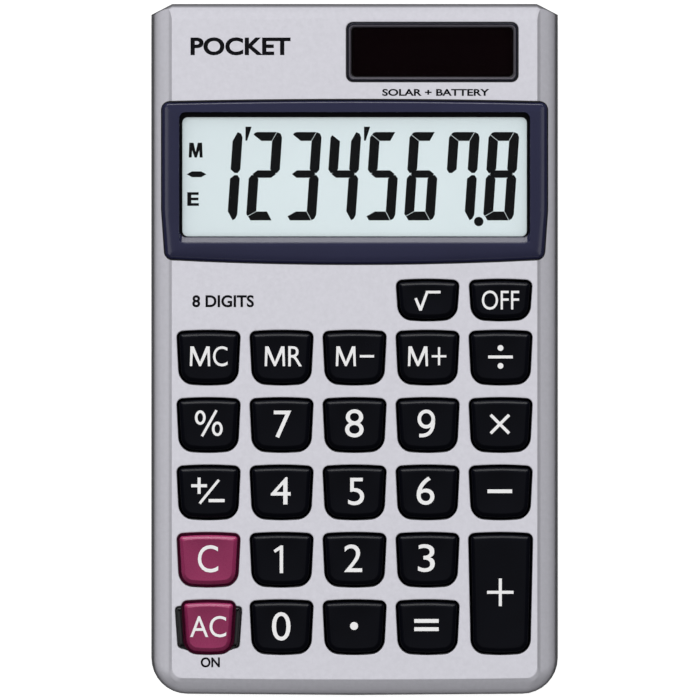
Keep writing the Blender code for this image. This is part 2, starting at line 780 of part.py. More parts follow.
def leads():
    """Four wires along the floor, from the solar cell and the battery contacts to the board's edge."""
    run_z = FLOOR_Z + 0.6
    board_edge_y = BOARD_TOP_Y + GAP
    board_z = (BOARD_Z[0] + BOARD_Z[1]) / 2
    solar_x, solar_y = SOLAR_CENTRE
    battery_x, battery_y = BATTERY_CENTRE
    pair = (("solar_lead_red", solar_x - 9, "lead_red"), ("solar_lead_black", solar_x - 5, "lead_black"))
    for name, x, slot in pair:
        points = [
            (x, solar_y - 3.5, 4.7),
            (x, solar_y - 4.5, 3.6),
            (x, solar_y - 7.0, run_z + 0.2),
            (x - 1.0, 36.0, run_z),
            (x, 24.0, run_z),
            (x, board_edge_y, board_z),
        ]
        lead(name, smooth_route(points), slot)
    foot_x = battery_x + 8.1
    points = [
        (foot_x, battery_y, 2.6),
        (foot_x + 0.8, battery_y - 2.0, run_z + 0.2),
        (foot_x + 1.6, 44.0, run_z),
        (foot_x + 1.0, 34.0, run_z),
        (foot_x + 1.6, 24.0, run_z),
        (foot_x + 1.6, board_edge_y, board_z),
    ]
    lead("battery_lead_red", smooth_route(points), "lead_red")
    points = [
        (battery_x, battery_y - 9.0, FLOOR_Z + 0.45),
        (battery_x + 0.4, 36.0, run_z),
        (battery_x, 24.0, run_z),
        (battery_x, board_edge_y, board_z),
    ]
    lead("battery_lead_black", smooth_route(points), "lead_black")


def case_screws():
    """Four pan-head screws, sunk in the rear cover and held in the case bosses."""
    profile = [(5.2, 0.6), (4.9, 0.85), (1.05, 0.85), (1.05, 1.85), (0.55, 1.85), (0.3, 1.5)]
    for number, place in enumerate(SCREW_PLACES, start=1):
        screw = turned(f"case_screw_{number}", [place], profile, 12)
        x, y = place
        arm = 1.1
        blade = 0.22
        along = [(x - arm, y - blade), (x + arm, y - blade), (x + arm, y + blade), (x - arm, y + blade)]
        across = [(x - blade, y - arm), (x + blade, y - arm), (x + blade, y + arm), (x - blade, y + arm)]
        combine(screw, prisms(f"recess_along_{number}", [(along, 0.0, 0.75)]), "DIFFERENCE")
        combine(screw, prisms(f"recess_across_{number}", [(across, 0.0, 0.75)]), "DIFFERENCE")
        finish(screw, "steel")


def main():
    for thing in list(bpy.data.objects):
        bpy.data.objects.remove(thing, do_unlink=True)
    front_panel()
    upper_case()
    rear_cover()
    ac_key_guard()
    display_frame()
    display()
    solar()
    rubber_keypad()
    for entry in KEYS:
        key(*entry)
    main_board()
    board_components()
    battery()
    leads()
    case_screws()


main()
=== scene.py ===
"""Looks of the pocket calculator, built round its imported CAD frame.

Shapes are drawn in millimetres, in the frame's own axes, and become metres as each piece is made.
"""

import json
import math

import bmesh
import bpy
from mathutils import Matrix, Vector


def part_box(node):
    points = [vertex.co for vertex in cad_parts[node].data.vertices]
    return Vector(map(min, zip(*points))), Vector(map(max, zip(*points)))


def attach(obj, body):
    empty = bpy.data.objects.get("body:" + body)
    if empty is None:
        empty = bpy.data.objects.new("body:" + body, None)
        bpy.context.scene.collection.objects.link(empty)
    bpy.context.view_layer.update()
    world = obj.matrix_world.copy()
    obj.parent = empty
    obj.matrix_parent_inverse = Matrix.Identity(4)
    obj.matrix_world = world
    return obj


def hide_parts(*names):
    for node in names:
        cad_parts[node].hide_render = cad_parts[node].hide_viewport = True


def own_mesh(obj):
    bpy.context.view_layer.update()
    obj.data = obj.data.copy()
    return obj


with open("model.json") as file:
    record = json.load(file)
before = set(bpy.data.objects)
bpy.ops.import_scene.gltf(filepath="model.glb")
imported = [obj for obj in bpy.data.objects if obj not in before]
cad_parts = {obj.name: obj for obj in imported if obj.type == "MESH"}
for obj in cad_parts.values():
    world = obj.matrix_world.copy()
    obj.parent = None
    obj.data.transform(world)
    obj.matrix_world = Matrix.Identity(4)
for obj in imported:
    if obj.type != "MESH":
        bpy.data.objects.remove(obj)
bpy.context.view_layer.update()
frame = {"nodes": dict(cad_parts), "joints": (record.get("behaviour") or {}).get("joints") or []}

MM = 0.001
KEYS = [joint["child"] for joint in frame["joints"]]


def box(node):
    """Lowest and highest corner of a CAD node, in millimetres."""
    low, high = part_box(node)
    return low / MM, high / MM


def plan(node):
    """Centre and size of a CAD node seen from above, in millimetres."""
    low, high = box(node)
    return ((low.x + high.x) / 2, (low.y + high.y) / 2), (high.x - low.x, high.y - low.y)


# The body, as the CAD has it
CASE_LOW, CASE_HIGH = box("upper_case")
PANEL_LOW, PANEL_HIGH = box("front_panel")
BODY_WIDTH = CASE_HIGH.x - CASE_LOW.x
BODY_LENGTH = CASE_HIGH.y - CASE_LOW.y
FACE_Z = PANEL_HIGH.z
PANEL_EDGE_Z = PANEL_LOW.z
PANEL_WALL = 0.6
CORNER_RADIUS = 6.2
CHAMFER = (3.6, 1.86)
BOTTOM_BOW = 0.26
FLANK = 3.6
PLATE_SHARP = 32
HOLE_RIM = [
    # how far out from a hole's wall, then how far below the face
    (0.34, 0.0), (0.14, 0.0), (0.055, 0.025), (0.012, 0.07), (0.0, 0.15),
]

# Keys: how each cap differs from the hole it comes up through
GAP = 0.3
FLANGE_OVERHANG = 0.4
FLANGE_SHORTFALL = 0.15
FLANGE_HEIGHT = 0.55
STEM_RADIUS = 1.7
STEM_LENGTH = 0.3
DISH_DEPTH = 0.26
CAP_SHRINK = 0.12
RED_CAP_SHRINK = 0.08
RIM_INSET = 0.9
CAP_EDGE = [
    # how far in from a cap's side, then how far below its top
    (0.0, 0.7), (0.04, 0.56), (0.12, 0.45), (0.23, 0.33), (0.53, 0.09), (0.61, 0.045),
]
DISH_STEPS = (0.97, 0.92, 0.84, 0.74, 0.62, 0.48, 0.33, 0.17)
LEGEND_PLACE = (-0.05, 0.12)
PRINT_THICK = 0.02
SHEET_THICK = 0.5

# Display frame
FRAME_LOW, FRAME_HIGH = box("display_frame")
FRAME_HALF_TOP = 33.11
FRAME_HALF_BOTTOM = 32.51
FRAME_TAPER_Y = 24.0
FRAME_BOW_TOP = 0.4
FRAME_BOW_BOTTOM = 0.9
OPENING_HALF = 29.63
OPENING_Y = (19.34, 39.95)
# how far the black border print shows inside the opening's sides and top: a printed window border, and
# painted shade in place of the shaded inner walls
BORDER_AND_PAINTED_SHADE = (0.48, 0.8)
OPENING_RAMP = 1.5
RAMP = [
    # share of the ramp's width, then how far below the frame's top
    (1.09, 0.0), (0.98, 0.023), (0.87, 0.073), (0.76, 0.153), (0.64, 0.261), (0.52, 0.385), (0.1, 0.86),
    (0.0, 0.945),
]

# Solar cell's frame: how far its centre lies below the CAD's
SOLAR_DROP = 0.08

# Digits of the display
DIGIT_PITCH = 6.8
DIGIT_WIDTH = 5.33
DIGIT_TOP = 7.27
DIGIT_BOTTOM = -8.01
DIGIT_SLANT = math.tan(math.radians(3.9))
LAST_DIGIT_X = 22.59
DIGITS_RAISED = 0.6
STROKE = 1.75
BAR = 1.6
LENS = 0.68
SEGMENT_GAP = 0.04
LIT = ("bc", "abged", "abgcd", "fgbc", "afgcd", "afgecd", "fabc", "abcdefg")

# Light and camera: the lamps' distance is in metres
LAMP_DISTANCE = 0.6
SKY_LEAN = (-0.10, 0.22, 1.0)
SKY_FOCUS = 3.0
SKY_GLOW = 1.28
HAZE = (0.06, 0.32)
FLOOR_HALF = 1500.0
FLOOR_DROP = 0.02
FOCAL_LENGTH = 300.0
SENSOR_WIDTH = 36.0
VIEW_WIDTH = 120.3
VIEW_CENTRE = (-0.79, -0.085)

# Colours, as red, green, blue in linear light
SILVER = (0.515, 0.51, 0.555)
NAVY = (0.0055, 0.0058, 0.016)
KEY_BLACK = (0.0012, 0.0014, 0.003)
KEY_RED = (0.18, 0.0165, 0.064)
LCD_GREY = (0.72, 0.82, 0.845)
INK_WHITE = (0.99, 0.98, 0.99)
INK_DARK = (0.004, 0.004, 0.006)


# ---- outlines


def polar(centre, radius, angle):
    """The point at a distance and an angle from a centre."""
    return (centre[0] + radius * math.cos(angle), centre[1] + radius * math.sin(angle))


def corner_arc(before, corner, after, radius, steps):
    """Points of the arc that rounds a polygon's corner, in order."""
    angle_before = math.atan2(before[1] - corner[1], before[0] - corner[0])
    angle_after = math.atan2(after[1] - corner[1], after[0] - corner[0])
    opening = (angle_before - angle_after) % (2 * math.pi)
    middle = angle_after + opening / 2
    centre = polar(corner, radius / math.sin(opening / 2), middle)
    start = angle_before + math.pi / 2
    sweep = math.pi - opening
    return [polar(centre, radius, start + sweep * k / steps) for k in range(steps + 1)]


def rounded_polygon(corners, radii, steps, between=0):
    """Anticlockwise outline with rounded corners, and points between them along each side."""
    arcs = []
    for k, corner in enumerate(corners):
        arcs.append(corner_arc(corners[k - 1], corner, corners[(k + 1) % len(corners)], radii[k], steps))
    outline = []
    for k, arc in enumerate(arcs):
        outline.extend(arc)
        start = arc[-1]
        end = arcs[(k + 1) % len(arcs)][0]
        for step in range(1, between + 1):
            share = step / (between + 1)
            outline.append((start[0] + (end[0] - start[0]) * share, start[1] + (end[1] - start[1]) * share))
    return outline


def rounded_rectangle(centre, size, radius):
    x, y = centre
    half_x = size[0] / 2
    half_y = size[1] / 2
    sides = ((-half_x, -half_y), (half_x, -half_y), (half_x, half_y), (-half_x, half_y))
    return rounded_polygon([(x + across, y + up) for across, up in sides], [radius] * 4, 6)


def circle(centre, radius, count):
    return [polar(centre, radius, 2 * math.pi * k / count) for k in range(count)]


def oval(centre, half_x, half_y):
    return [(centre[0] + half_x * x, centre[1] + half_y * y) for x, y in circle((0.0, 0.0), 1.0, 24)]


def on_circle(outline, radius):
    """A circle round the origin with one point on each of an outline's bearings."""
    return [polar((0.0, 0.0), radius, math.atan2(y, x)) for x, y in outline]


def moved(outline, centre):
    return [(x + centre[0], y + centre[1]) for x, y in outline]


def scaled(outline, share):
    return [(x * share, y * share) for x, y in outline]


def bowed(outline, half_x, low, high, bow_low, bow_high):
    """Bends an outline's two ends outwards, most at their middle."""
    bent = []
    for x, y in outline:
        share = (y - low) / (high - low)
        hump = max(1 - (x / half_x) ** 2, 0.0)
        bent.append((x, y + hump * (bow_high * share - bow_low * (1 - share))))
    return bent


def body_outline(side, top, bottom):
    """The body's outline, moved in from its widest by side, top and bottom."""
    half = BODY_WIDTH / 2 - side
    high = BODY_LENGTH / 2 - top
    low = -BODY_LENGTH / 2 + bottom + BOTTOM_BOW
    radius = max(CORNER_RADIUS - 1.4 * side, 1.8)
    share = max(1 - side / FLANK, 0.06)
    cut_x = CHAMFER[0] * share
    cut_y = CHAMFER[1] * share
    corners = [(-half, low), (half, low), (half, high - cut_y)]
    corners += [(half - cut_x, high), (cut_x - half, high), (-half, high - cut_y)]
    soft = 0.9 * share
    outline = rounded_polygon(corners, [radius, radius, soft, soft, soft, soft], 8, between=11)
    return bowed(outline, half, low, high, BOTTOM_BOW, 0.0)


def key_outline(size, grow=0.0, top_radius=0.95, bottom_radius=2.2):
    """A key's outline round the origin: bowed ends, sides closing a little towards the bottom."""
    narrow = 0.45
    bow_top = 0.25
    bow_bottom = 0.45
    half_x = size[0] / 2 + grow
    half_y = size[1] / 2 + grow
    low = bow_bottom - half_y
    high = half_y - bow_top
    corners = [(narrow - half_x, low), (half_x - narrow, low), (half_x, high), (-half_x, high)]
    low_radius = bottom_radius + grow
    high_radius = max(top_radius + grow, 0.25)
    outline = rounded_polygon(corners, [low_radius, low_radius, high_radius, high_radius], 7, between=7)
    return bowed(outline, half_x, low, high, bow_bottom, bow_top)


def frame_outline(inset, round_off=1.2):
    """The display frame's outer outline: sides closing below a shoulder, both ends bowed."""
    top = FRAME_HALF_TOP - inset
    bottom = FRAME_HALF_BOTTOM - inset
    low = FRAME_LOW.y + FRAME_BOW_BOTTOM + inset
    high = FRAME_HIGH.y - FRAME_BOW_TOP - inset
    corners = [(-bottom, low), (bottom, low), (top, FRAME_TAPER_Y)]
    corners += [(top, high), (-top, high), (-top, FRAME_TAPER_Y)]
    radius = max(round_off - inset, 0.35)
    outline = rounded_polygon(corners, [radius, radius, 4.0, radius, radius, 4.0], 6, between=9)
    return bowed(outline, top, low, high, FRAME_BOW_BOTTOM, FRAME_BOW_TOP)


def opening_outline(side, low, high, radius):
    """The display opening's outline, with as many points as frame_outline."""
    middle = (low + high) / 2
    corners = [(-side, low), (side, low), (side, middle), (side, high), (-side, high), (-side, middle)]
    return rounded_polygon(corners, [radius, radius, 4.0, radius, radius, 4.0], 6, between=9)


def stroke(points, width):
    """Outline of an open line of even width, with square ends and mitred bends."""
    left = []
    right = []
    for k, point in enumerate(points):
        place = Vector(point)
        ahead = (Vector(points[k + 1]) - place).normalized() if k < len(points) - 1 else None
        behind = (place - Vector(points[k - 1])).normalized() if k > 0 else None
        along = ((ahead or behind) + (behind or ahead)).normalized()
        across = Vector((-along.y, along.x))
        spread = width / 2 / max(along.dot(ahead or behind), 0.3)
        left.append(tuple(place + across * spread))
        right.append(tuple(place - across * spread))
    return right + left[::-1]


def bar(centre, width, height):
    return stroke([(centre[0] - width / 2, centre[1]), (centre[0] + width / 2, centre[1])], height)


def plus(centre, width, height, thick):
    """A plus sign as one outline."""
    x = width / 2
    y = height / 2
    t = thick / 2
    half = [(-t, -y), (t, -y), (t, -t), (x, -t), (x, t), (t, t)]
    return moved(half + [(-px, -py) for px, py in half], centre)


def turned_outline(outline, degrees):
    cosine = math.cos(math.radians(degrees))
    sine = math.sin(math.radians(degrees))
    return [(x * cosine - y * sine, x * sine + y * cosine) for x, y in outline]


def inset_outline(outline, distance):
    """A convex outline moved in evenly."""
    count = len(outline)
    moved_in = []
    for k in range(count):
        place = Vector(outline[k])
        ahead = (Vector(outline[(k + 1) % count]) - place).normalized()
        behind = (place - Vector(outline[k - 1])).normalized()
        along = (ahead + behind).normalized()
        inward = Vector((-along.y, along.x))
        moved_in.append(tuple(place + inward * distance / max(along.dot(ahead), 0.4)))
    return moved_in


# ---- meshes


def at_height(outline, z):
    return [(x, y, z) for x, y in outline]


def add_rings(bm, rings, closed=False):
    """Joins rings of equal length side to side and returns their vertices."""
    loops = [[bm.verts.new(point) for point in ring] for ring in rings]
    pairs = list(zip(loops, loops[1:]))
    if closed:
        pairs.append((loops[-1], loops[0]))
    for low, high in pairs:
        for k in range(len(low)):
            after = (k + 1) % len(low)
            bm.faces.new((low[k], low[after], high[after], high[k]))
    return loops


def cap_fan(bm, loop, centre):
    """Closes a loop with triangles to a point."""
    tip = bm.verts.new(centre)
    for k in range(len(loop)):
        bm.faces.new((loop[k], loop[(k + 1) % len(loop)], tip))


def fill_between(bm, loops):
    """Fills the flat area inside the first loop and outside the others."""
    edges = []
    for loop in loops:
        for k in range(len(loop)):
            edges.append(bm.edges.get((loop[k - 1], loop[k])) or bm.edges.new((loop[k - 1], loop[k])))
    bmesh.ops.triangle_fill(bm, use_beauty=True, edges=edges)


def add_sheet(bm, outlines, heights):
    """A flat sheet between two heights: the first outline is its outside, the others are holes."""
    walls = [add_rings(bm, [at_height(outline, z) for z in heights]) for outline in outlines]
    for end in (0, 1):
        fill_between(bm, [wall[end] for wall in walls])


def add_turned(bm, centre, profile, count):
    """A closed turned solid: the profile lists radius and z, from one end to the other."""
    rings = [at_height(circle(centre, radius, count), z) for radius, z in profile]
    loops = add_rings(bm, rings)
    cap_fan(bm, loops[0], (*centre, profile[0][1]))
    cap_fan(bm, loops[-1], (*centre, profile[-1][1]))


def softened(stations, reach, steps=4):
    """Rounds the bends of a path of number tuples, each over at most a reach along its neighbours."""
    path = [stations[0]]
    for before, here, after in zip(stations, stations[1:], stations[2:]):
        start = toward(here, before, reach)
        end = toward(here, after, reach)
        for step in range(steps + 1):
            t = step / steps
            path.append(
                tuple(a * (1 - t) ** 2 + 2 * b * t * (1 - t) + c * t * t for a, b, c in zip(start, here, end))
            )
    path.append(stations[-1])
    return path


def toward(here, there, reach):
    """A point on the way from here to there, at most half-way."""
    length = math.dist(here, there)
    share = min(0.48, reach / length)
    return tuple(a + (b - a) * share for a, b in zip(here, there))


def add_object(name, data):
    thing = bpy.data.objects.new(name, data)
    bpy.context.scene.collection.objects.link(thing)
    return thing


def shade(mesh, sharp):
    """Smooth shading between edges sharper than an angle in degrees."""
    mesh.shade_smooth()
    mesh.set_sharp_from_angle(angle=math.radians(sharp))


def make_object(name, bm, sharp):
    """Turns a mesh drawn in millimetres into an object in metres, shaded smooth between sharp edges."""
    bmesh.ops.recalc_face_normals(bm, faces=bm.faces)
    bmesh.ops.scale(bm, vec=(MM, MM, MM), verts=bm.verts)
    mesh = bpy.data.meshes.new(name)
    bm.to_mesh(mesh)
    bm.free()
    shade(mesh, sharp)
    return add_object(name, mesh)


def finish_piece(thing, material, body="case", stands_for=(), weighted=True):
    """Gives a piece its material, its body and the CAD nodes it stands for."""
    thing.data.materials.clear()
    thing.data.materials.append(material)
    if weighted:
        step = thing.modifiers.new("Weighted normals", "WEIGHTED_NORMAL")
        step.keep_sharp = True
        step.weight = 100
    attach(thing, body)
    if stands_for:
        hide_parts(*stands_for)
    return thing


def ring_piece(name, rings, sharp, material, stands_for=()):
    """A piece with a hole through it, its surface closed through a loop of rings."""
    bm = bmesh.new()
    add_rings(bm, rings, closed=True)
    return finish_piece(make_object(name, bm, sharp), material, stands_for=stands_for)


def carve(thing, tool, sharp):
    """Cuts one object out of another, removes the cutter and shades what is left."""
    step = thing.modifiers.new("Cut", "BOOLEAN")
    step.operation = "DIFFERENCE"
    step.object = tool
    step.solver = "EXACT"
    graph = bpy.context.evaluated_depsgraph_get()
    mesh = bpy.data.meshes.new_from_object(thing.evaluated_get(graph))
    thing.modifiers.clear()
    thing.data = mesh
    bpy.data.objects.remove(tool, do_unlink=True)
    shade(mesh, sharp)


def flat_shape(outlines):
    """A flat mesh of outlines, each filled."""
    bm = bmesh.new()
    for outline in outlines:
        loop = [bm.verts.new((x, y, 0.0)) for x, y in outline]
        fill_between(bm, [loop])
    return bm


def ring_shape(line, width):
    """A flat mesh of a closed line of even width."""
    bm = bmesh.new()
    add_rings(bm, [at_height(inset_outline(line, distance), 0.0) for distance in (-width / 2, width / 2)])
    return bm


def span(bm, axis):
    """Lowest and highest place of a mesh's points along an axis."""
    values = [vertex.co[axis] for vertex in bm.verts]
    return min(values), max(values)


def text_shape(body, height, width, weight=0.0, centre=(0.0, 0.0)):
    """A flat mesh of a text in the built-in font, scaled to a height and a width."""
    curve = bpy.data.curves.new("text", "FONT")
    curve.body = body
    curve.offset = weight
    curve.resolution_u = 5
    thing = add_object("text", curve)
    graph = bpy.context.evaluated_depsgraph_get()
    mesh = bpy.data.meshes.new_from_object(thing.evaluated_get(graph))
    bm = bmesh.new()
    bm.from_mesh(mesh)
    bpy.data.objects.remove(thing, do_unlink=True)
    bpy.data.curves.remove(curve)
    bpy.data.meshes.remove(mesh)
    for axis, wanted in enumerate((width, height)):
        low, high = span(bm, axis)
        scale = wanted / (high - low)
        for vertex in bm.verts:
            vertex.co[axis] = (vertex.co[axis] - (high + low) / 2) * scale + centre[axis]
    bmesh.ops.remove_doubles(bm, verts=bm.verts, dist=0.002)
    return bm


def joined(shapes):
    """One mesh of several."""
    bm = bmesh.new()
    for shape in shapes:
        mesh = bpy.data.meshes.new("part")
        shape.to_mesh(mesh)
        shape.free()
        bm.from_mesh(mesh)
        bpy.data.meshes.remove(mesh)
    return bm


def print_on(name, shape, centre, surface_z, material, body="case", spacing=1.0):
    """A thin raised print: a flat shape laid on a surface given by its height at each point."""
    for axis, normal in enumerate((Vector((1.0, 0.0, 0.0)), Vector((0.0, 1.0, 0.0)))):
        low, high = span(shape, axis)
        for k in range(1, int((high - low) / spacing) + 1):
            geometry = shape.verts[:] + shape.edges[:] + shape.faces[:]
            place = normal * (low + k * spacing)
            bmesh.ops.bisect_plane(shape, geom=geometry, plane_co=place, plane_no=normal)
    raised = bmesh.ops.extrude_face_region(shape, geom=shape.faces[:])["geom"]
    tops = [item for item in raised if isinstance(item, bmesh.types.BMVert)]
    for vertex in tops:
        vertex.co.z += 2 * PRINT_THICK
    for vertex in shape.verts:
        vertex.co.z += surface_z(vertex.co.x, vertex.co.y) - PRINT_THICK
        vertex.co.x += centre[0]
        vertex.co.y += centre[1]
    thing = make_object(name, shape, 40)
    return finish_piece(thing, material, body, weighted=False)


def flat_print(name, shape, centre, height, material):
    """A print on a flat surface of the case, in one piece."""
    return print_on(name, shape, centre, lambda x, y: height, material, spacing=math.inf)


# ---- materials


def add_node(tree, kind, **values):
    """A shader node with its settings and the values of its inputs, by name."""
    node = tree.nodes.new("ShaderNode" + kind)
    for name, value in values.items():
        if hasattr(node, name):
            setattr(node, name, value)
        else:
            node.inputs[name.replace("_", " ")].default_value = value
    return node


def noise(tree, size, detail=3.0, stretch=(1.0, 1.0, 1.0)):
    """Noise in object space with cells of a size in millimetres, stretched along each axis."""
    place = add_node(tree, "TexCoord")
    mapping = add_node(tree, "Mapping")
    mapping.inputs["Scale"].default_value = [1.0 / (size * MM * share) for share in stretch]
    texture = add_node(tree, "TexNoise", Scale=1.0, Detail=detail)
    tree.links.new(place.outputs["Object"], mapping.inputs["Vector"])
    tree.links.new(mapping.outputs["Vector"], texture.inputs["Vector"])
    return texture.outputs["Fac"]


def spread(tree, source, low, high, start=0.3, end=0.7):
    """Maps the middle of a source's range to a low and a high value."""
    node = add_node(tree, "MapRange", From_Min=start, From_Max=end, To_Min=low, To_Max=high)
    tree.links.new(source, node.inputs["Value"])
    return node.outputs["Result"]


def blend_colour(tree, share, first, second):
    """Mixes two colours, or an earlier socket and a colour, by a socket."""
    node = add_node(tree, "Mix", data_type="RGBA")
    tree.links.new(share, node.inputs[0])
    for value, socket in ((first, node.inputs[6]), (second, node.inputs[7])):
        if isinstance(value, tuple):
            socket.default_value = (*value, 1.0)
        else:
            tree.links.new(value, socket)
    return node.outputs[2]


def calculate(tree, operation, source, *others):
    """A maths node on a socket and further sockets or numbers."""
    node = add_node(tree, "Math", operation=operation)
    for value, socket in zip((source, *others), node.inputs):
        if isinstance(value, float):
            socket.default_value = value
        else:
            tree.links.new(value, socket)
    return node.outputs["Value"]


def edge_mask(tree, radius):
    """1 on outer edges and 0 elsewhere, broken up by noise."""
    bevel = add_node(tree, "Bevel", samples=4, Radius=radius * MM)
    geometry = add_node(tree, "NewGeometry")
    dot = add_node(tree, "VectorMath", operation="DOT_PRODUCT")
    tree.links.new(bevel.outputs["Normal"], dot.inputs[0])
    tree.links.new(geometry.outputs["Normal"], dot.inputs[1])
    edge = spread(tree, dot.outputs["Value"], 1.0, 0.0, 0.9, 0.995)
    patches = spread(tree, noise(tree, 1.2, 4.0), 0.0, 1.0, 0.45, 0.65)
    return calculate(tree, "MULTIPLY", edge, patches)


def surface(
    name, colour, roughness, blotch=(18.0, 0.05), grain=(0.3, 0.004), rough_spread=0.06, metallic=0.0,
    specular=0.5, stretch=(1.0, 1.0, 1.0), wear=None, alpha=1.0, coat=0.0, sheen=0.0,
):
    """A procedural finish: drifting colour, uneven roughness, fine relief and rubbed edges.

    blotch is a size and a share of the colour, grain a size and a depth, both in millimetres,
    and wear a colour, a width in millimetres and a share.
    """
    material = bpy.data.materials.new(name)
    material.use_nodes = True
    tree = material.node_tree
    shader = tree.nodes["Principled BSDF"]
    settings = {
        "Metallic": metallic,
        "Specular IOR Level": specular,
        "Coat Weight": coat,
        "Coat Roughness": 0.08,
        "Sheen Weight": sheen,
        "Alpha": alpha,
    }
    for socket, value in settings.items():
        shader.inputs[socket].default_value = value

    size, share = blotch
    dark = tuple(value * (1 - share) for value in colour)
    light = tuple(min(value * (1 + share), 1.0) for value in colour)
    tint = blend_colour(tree, spread(tree, noise(tree, size), 0.0, 1.0), dark, light)
    if wear:
        rubbed, width, strength = wear
        tint = blend_colour(tree, calculate(tree, "MULTIPLY", edge_mask(tree, width), strength), tint, rubbed)
    tree.links.new(tint, shader.inputs["Base Color"])

    fine = noise(tree, grain[0], 4.0, stretch)
    low = max(roughness - rough_spread, 0.02)
    tree.links.new(spread(tree, fine, low, roughness + rough_spread), shader.inputs["Roughness"])
    relief = add_node(tree, "Bump", Strength=1.0, Distance=grain[1] * MM)
    tree.links.new(fine, relief.inputs["Height"])
    tree.links.new(relief.outputs["Normal"], shader.inputs["Normal"])
    return material


# How each kind of surface is grained: blotch, grain and spread of the roughness
GLOSSY = ((12.0, 0.06), (0.2, 0.0008), 0.04)
CLEAN = ((20.0, 0.02), (4.0, 0.0004), 0.02)

METAL = surface(
    "satin_silver", SILVER, 0.36, (0.7, 0.03), (0.12, 0.002), 0.05, metallic=0.85, stretch=(1.0, 4.0, 1.0),
    wear=((0.8, 0.8, 0.82), 0.12, 0.3),
)
# Dark grey case plastic: partly the case's own colour, partly painted shade, as its rim round the plate's
# edge stands in for the shade on the body's rounded outer edge.
CASE_GREY_RIM_SHADE = surface(
    "case_dark_plastic", (0.075, 0.075, 0.08), 0.5, (14.0, 0.05), (0.25, 0.012), specular=0.3,
    wear=((0.16, 0.16, 0.17), 0.12, 0.3),
)
NAVY_PLASTIC = surface(
    "navy_plastic", NAVY, 0.22, *GLOSSY, specular=0.1, wear=((0.05, 0.055, 0.085), 0.1, 0.35)
)
DARK_PLASTIC = surface("dark_frame_plastic", (0.005, 0.0055, 0.011), 0.22, *GLOSSY, specular=0.08)
# lighter copy of the solar frame's dark plastic: a painted highlight along the lip round the cell's window
LIP_PAINTED_HIGHLIGHT = surface("lip_plastic", (0.03, 0.028, 0.034), 0.3, *GLOSSY, specular=0.09)
BLACK_KEY = surface(
    "black_key_plastic", KEY_BLACK, 0.26, (4.0, 0.1), (0.22, 0.0012), 0.05, specular=0.038,
    wear=((0.02, 0.02, 0.026), 0.08, 0.3),
)
RED_KEY = surface(
    "red_key_plastic", KEY_RED, 0.28, (4.0, 0.05), (0.22, 0.0012), 0.05, specular=0.125,
    wear=((0.42, 0.18, 0.25), 0.08, 0.3),
)
GUARD_BLACK = surface("guard_black_plastic", (0.006, 0.006, 0.007), 0.35, grain=(0.2, 0.001), specular=0.2)
WHITE_INK = surface("white_ink", INK_WHITE, 0.5, (1.5, 0.02), (0.1, 0.001), specular=0.2)
DARK_INK = surface("dark_ink", INK_DARK, 0.6, (1.5, 0.1), (0.1, 0.001), specular=0.06)
LCD_INK = surface("display_segments", (0.002, 0.002, 0.003), 0.5, (3.0, 0.2), (0.2, 0.0004), specular=0.03)
POLARISER = surface("display_film", LCD_GREY, 0.45, (22.0, 0.025), (0.08, 0.0004), 0.03, specular=0.2)
CLEAR = surface("clear_plastic", (0.1, 0.11, 0.11), 0.05, *CLEAN, specular=0.04, alpha=0.03)
SMOKED = surface(
    "smoked_plastic", (0.004, 0.0012, 0.002), 0.05, (20.0, 0.1), (4.0, 0.0004), 0.02, specular=0.01, alpha=0.5
)
GLASS = surface("display_glass", (0.7, 0.78, 0.77), 0.06, *CLEAN, alpha=0.35)
REFLECTOR = surface("display_reflector", (0.6, 0.68, 0.66), 0.4, grain=(0.1, 0.002), metallic=0.4)
SOLAR = surface("solar_cell", (0.003, 0.0008, 0.0013), 0.18, (6.0, 0.25), (0.4, 0.0006), 0.04, specular=0.04)
SILICONE = surface("grey_silicone", (0.24, 0.25, 0.25), 0.65, (6.0, 0.06), (0.3, 0.006), sheen=0.15)
BOARD = surface("board_lacquer", (0.02, 0.11, 0.045), 0.35, (3.0, 0.25), (0.5, 0.01), coat=0.4)
EPOXY = surface("black_epoxy", (0.01, 0.01, 0.01), 0.3, (2.0, 0.2), (0.6, 0.02))
CERAMIC = surface("capacitor_ceramic", (0.33, 0.23, 0.13), 0.5, (0.8, 0.12), (0.15, 0.006))
STEEL = surface(
    "bright_steel", (0.56, 0.56, 0.57), 0.26, (3.0, 0.06), (0.15, 0.002), metallic=1.0,
    wear=((0.8, 0.8, 0.8), 0.1, 0.5),
)
BRASS = surface("spring_brass", (0.66, 0.47, 0.18), 0.28, (3.0, 0.08), (0.2, 0.003), metallic=1.0)
RED_LEAD = surface("red_insulation", (0.42, 0.015, 0.015), 0.45, (2.0, 0.08), (0.2, 0.004))
BLACK_LEAD = surface("black_insulation", (0.012, 0.012, 0.012), 0.45, (2.0, 0.12), (0.2, 0.004))


# ---- front


def key_places():
    """Each key's centre and the size of its hole, by name."""
    places = {}
    for name in KEYS:
        centre, (width, length) = plan(name)
        hole = (width - 2 * FLANGE_OVERHANG + FLANGE_SHORTFALL, length - 2 * FLANGE_OVERHANG)
        places[name] = (centre, hole)
    return places


PLACES = key_places()
AC_CENTRE, AC_HOLE = PLACES["key_ac"]
SOLAR_LOW, SOLAR_HIGH = box("solar_frame")
SOLAR_MIDDLE, SOLAR_SIZE = plan("solar_frame")
SOLAR_CENTRE = (SOLAR_MIDDLE[0], SOLAR_MIDDLE[1] - SOLAR_DROP)
RIB_WIDTH = 0.85
RIB_Y = (-3.5, 3.4)
RIB_SLANT = 0.5


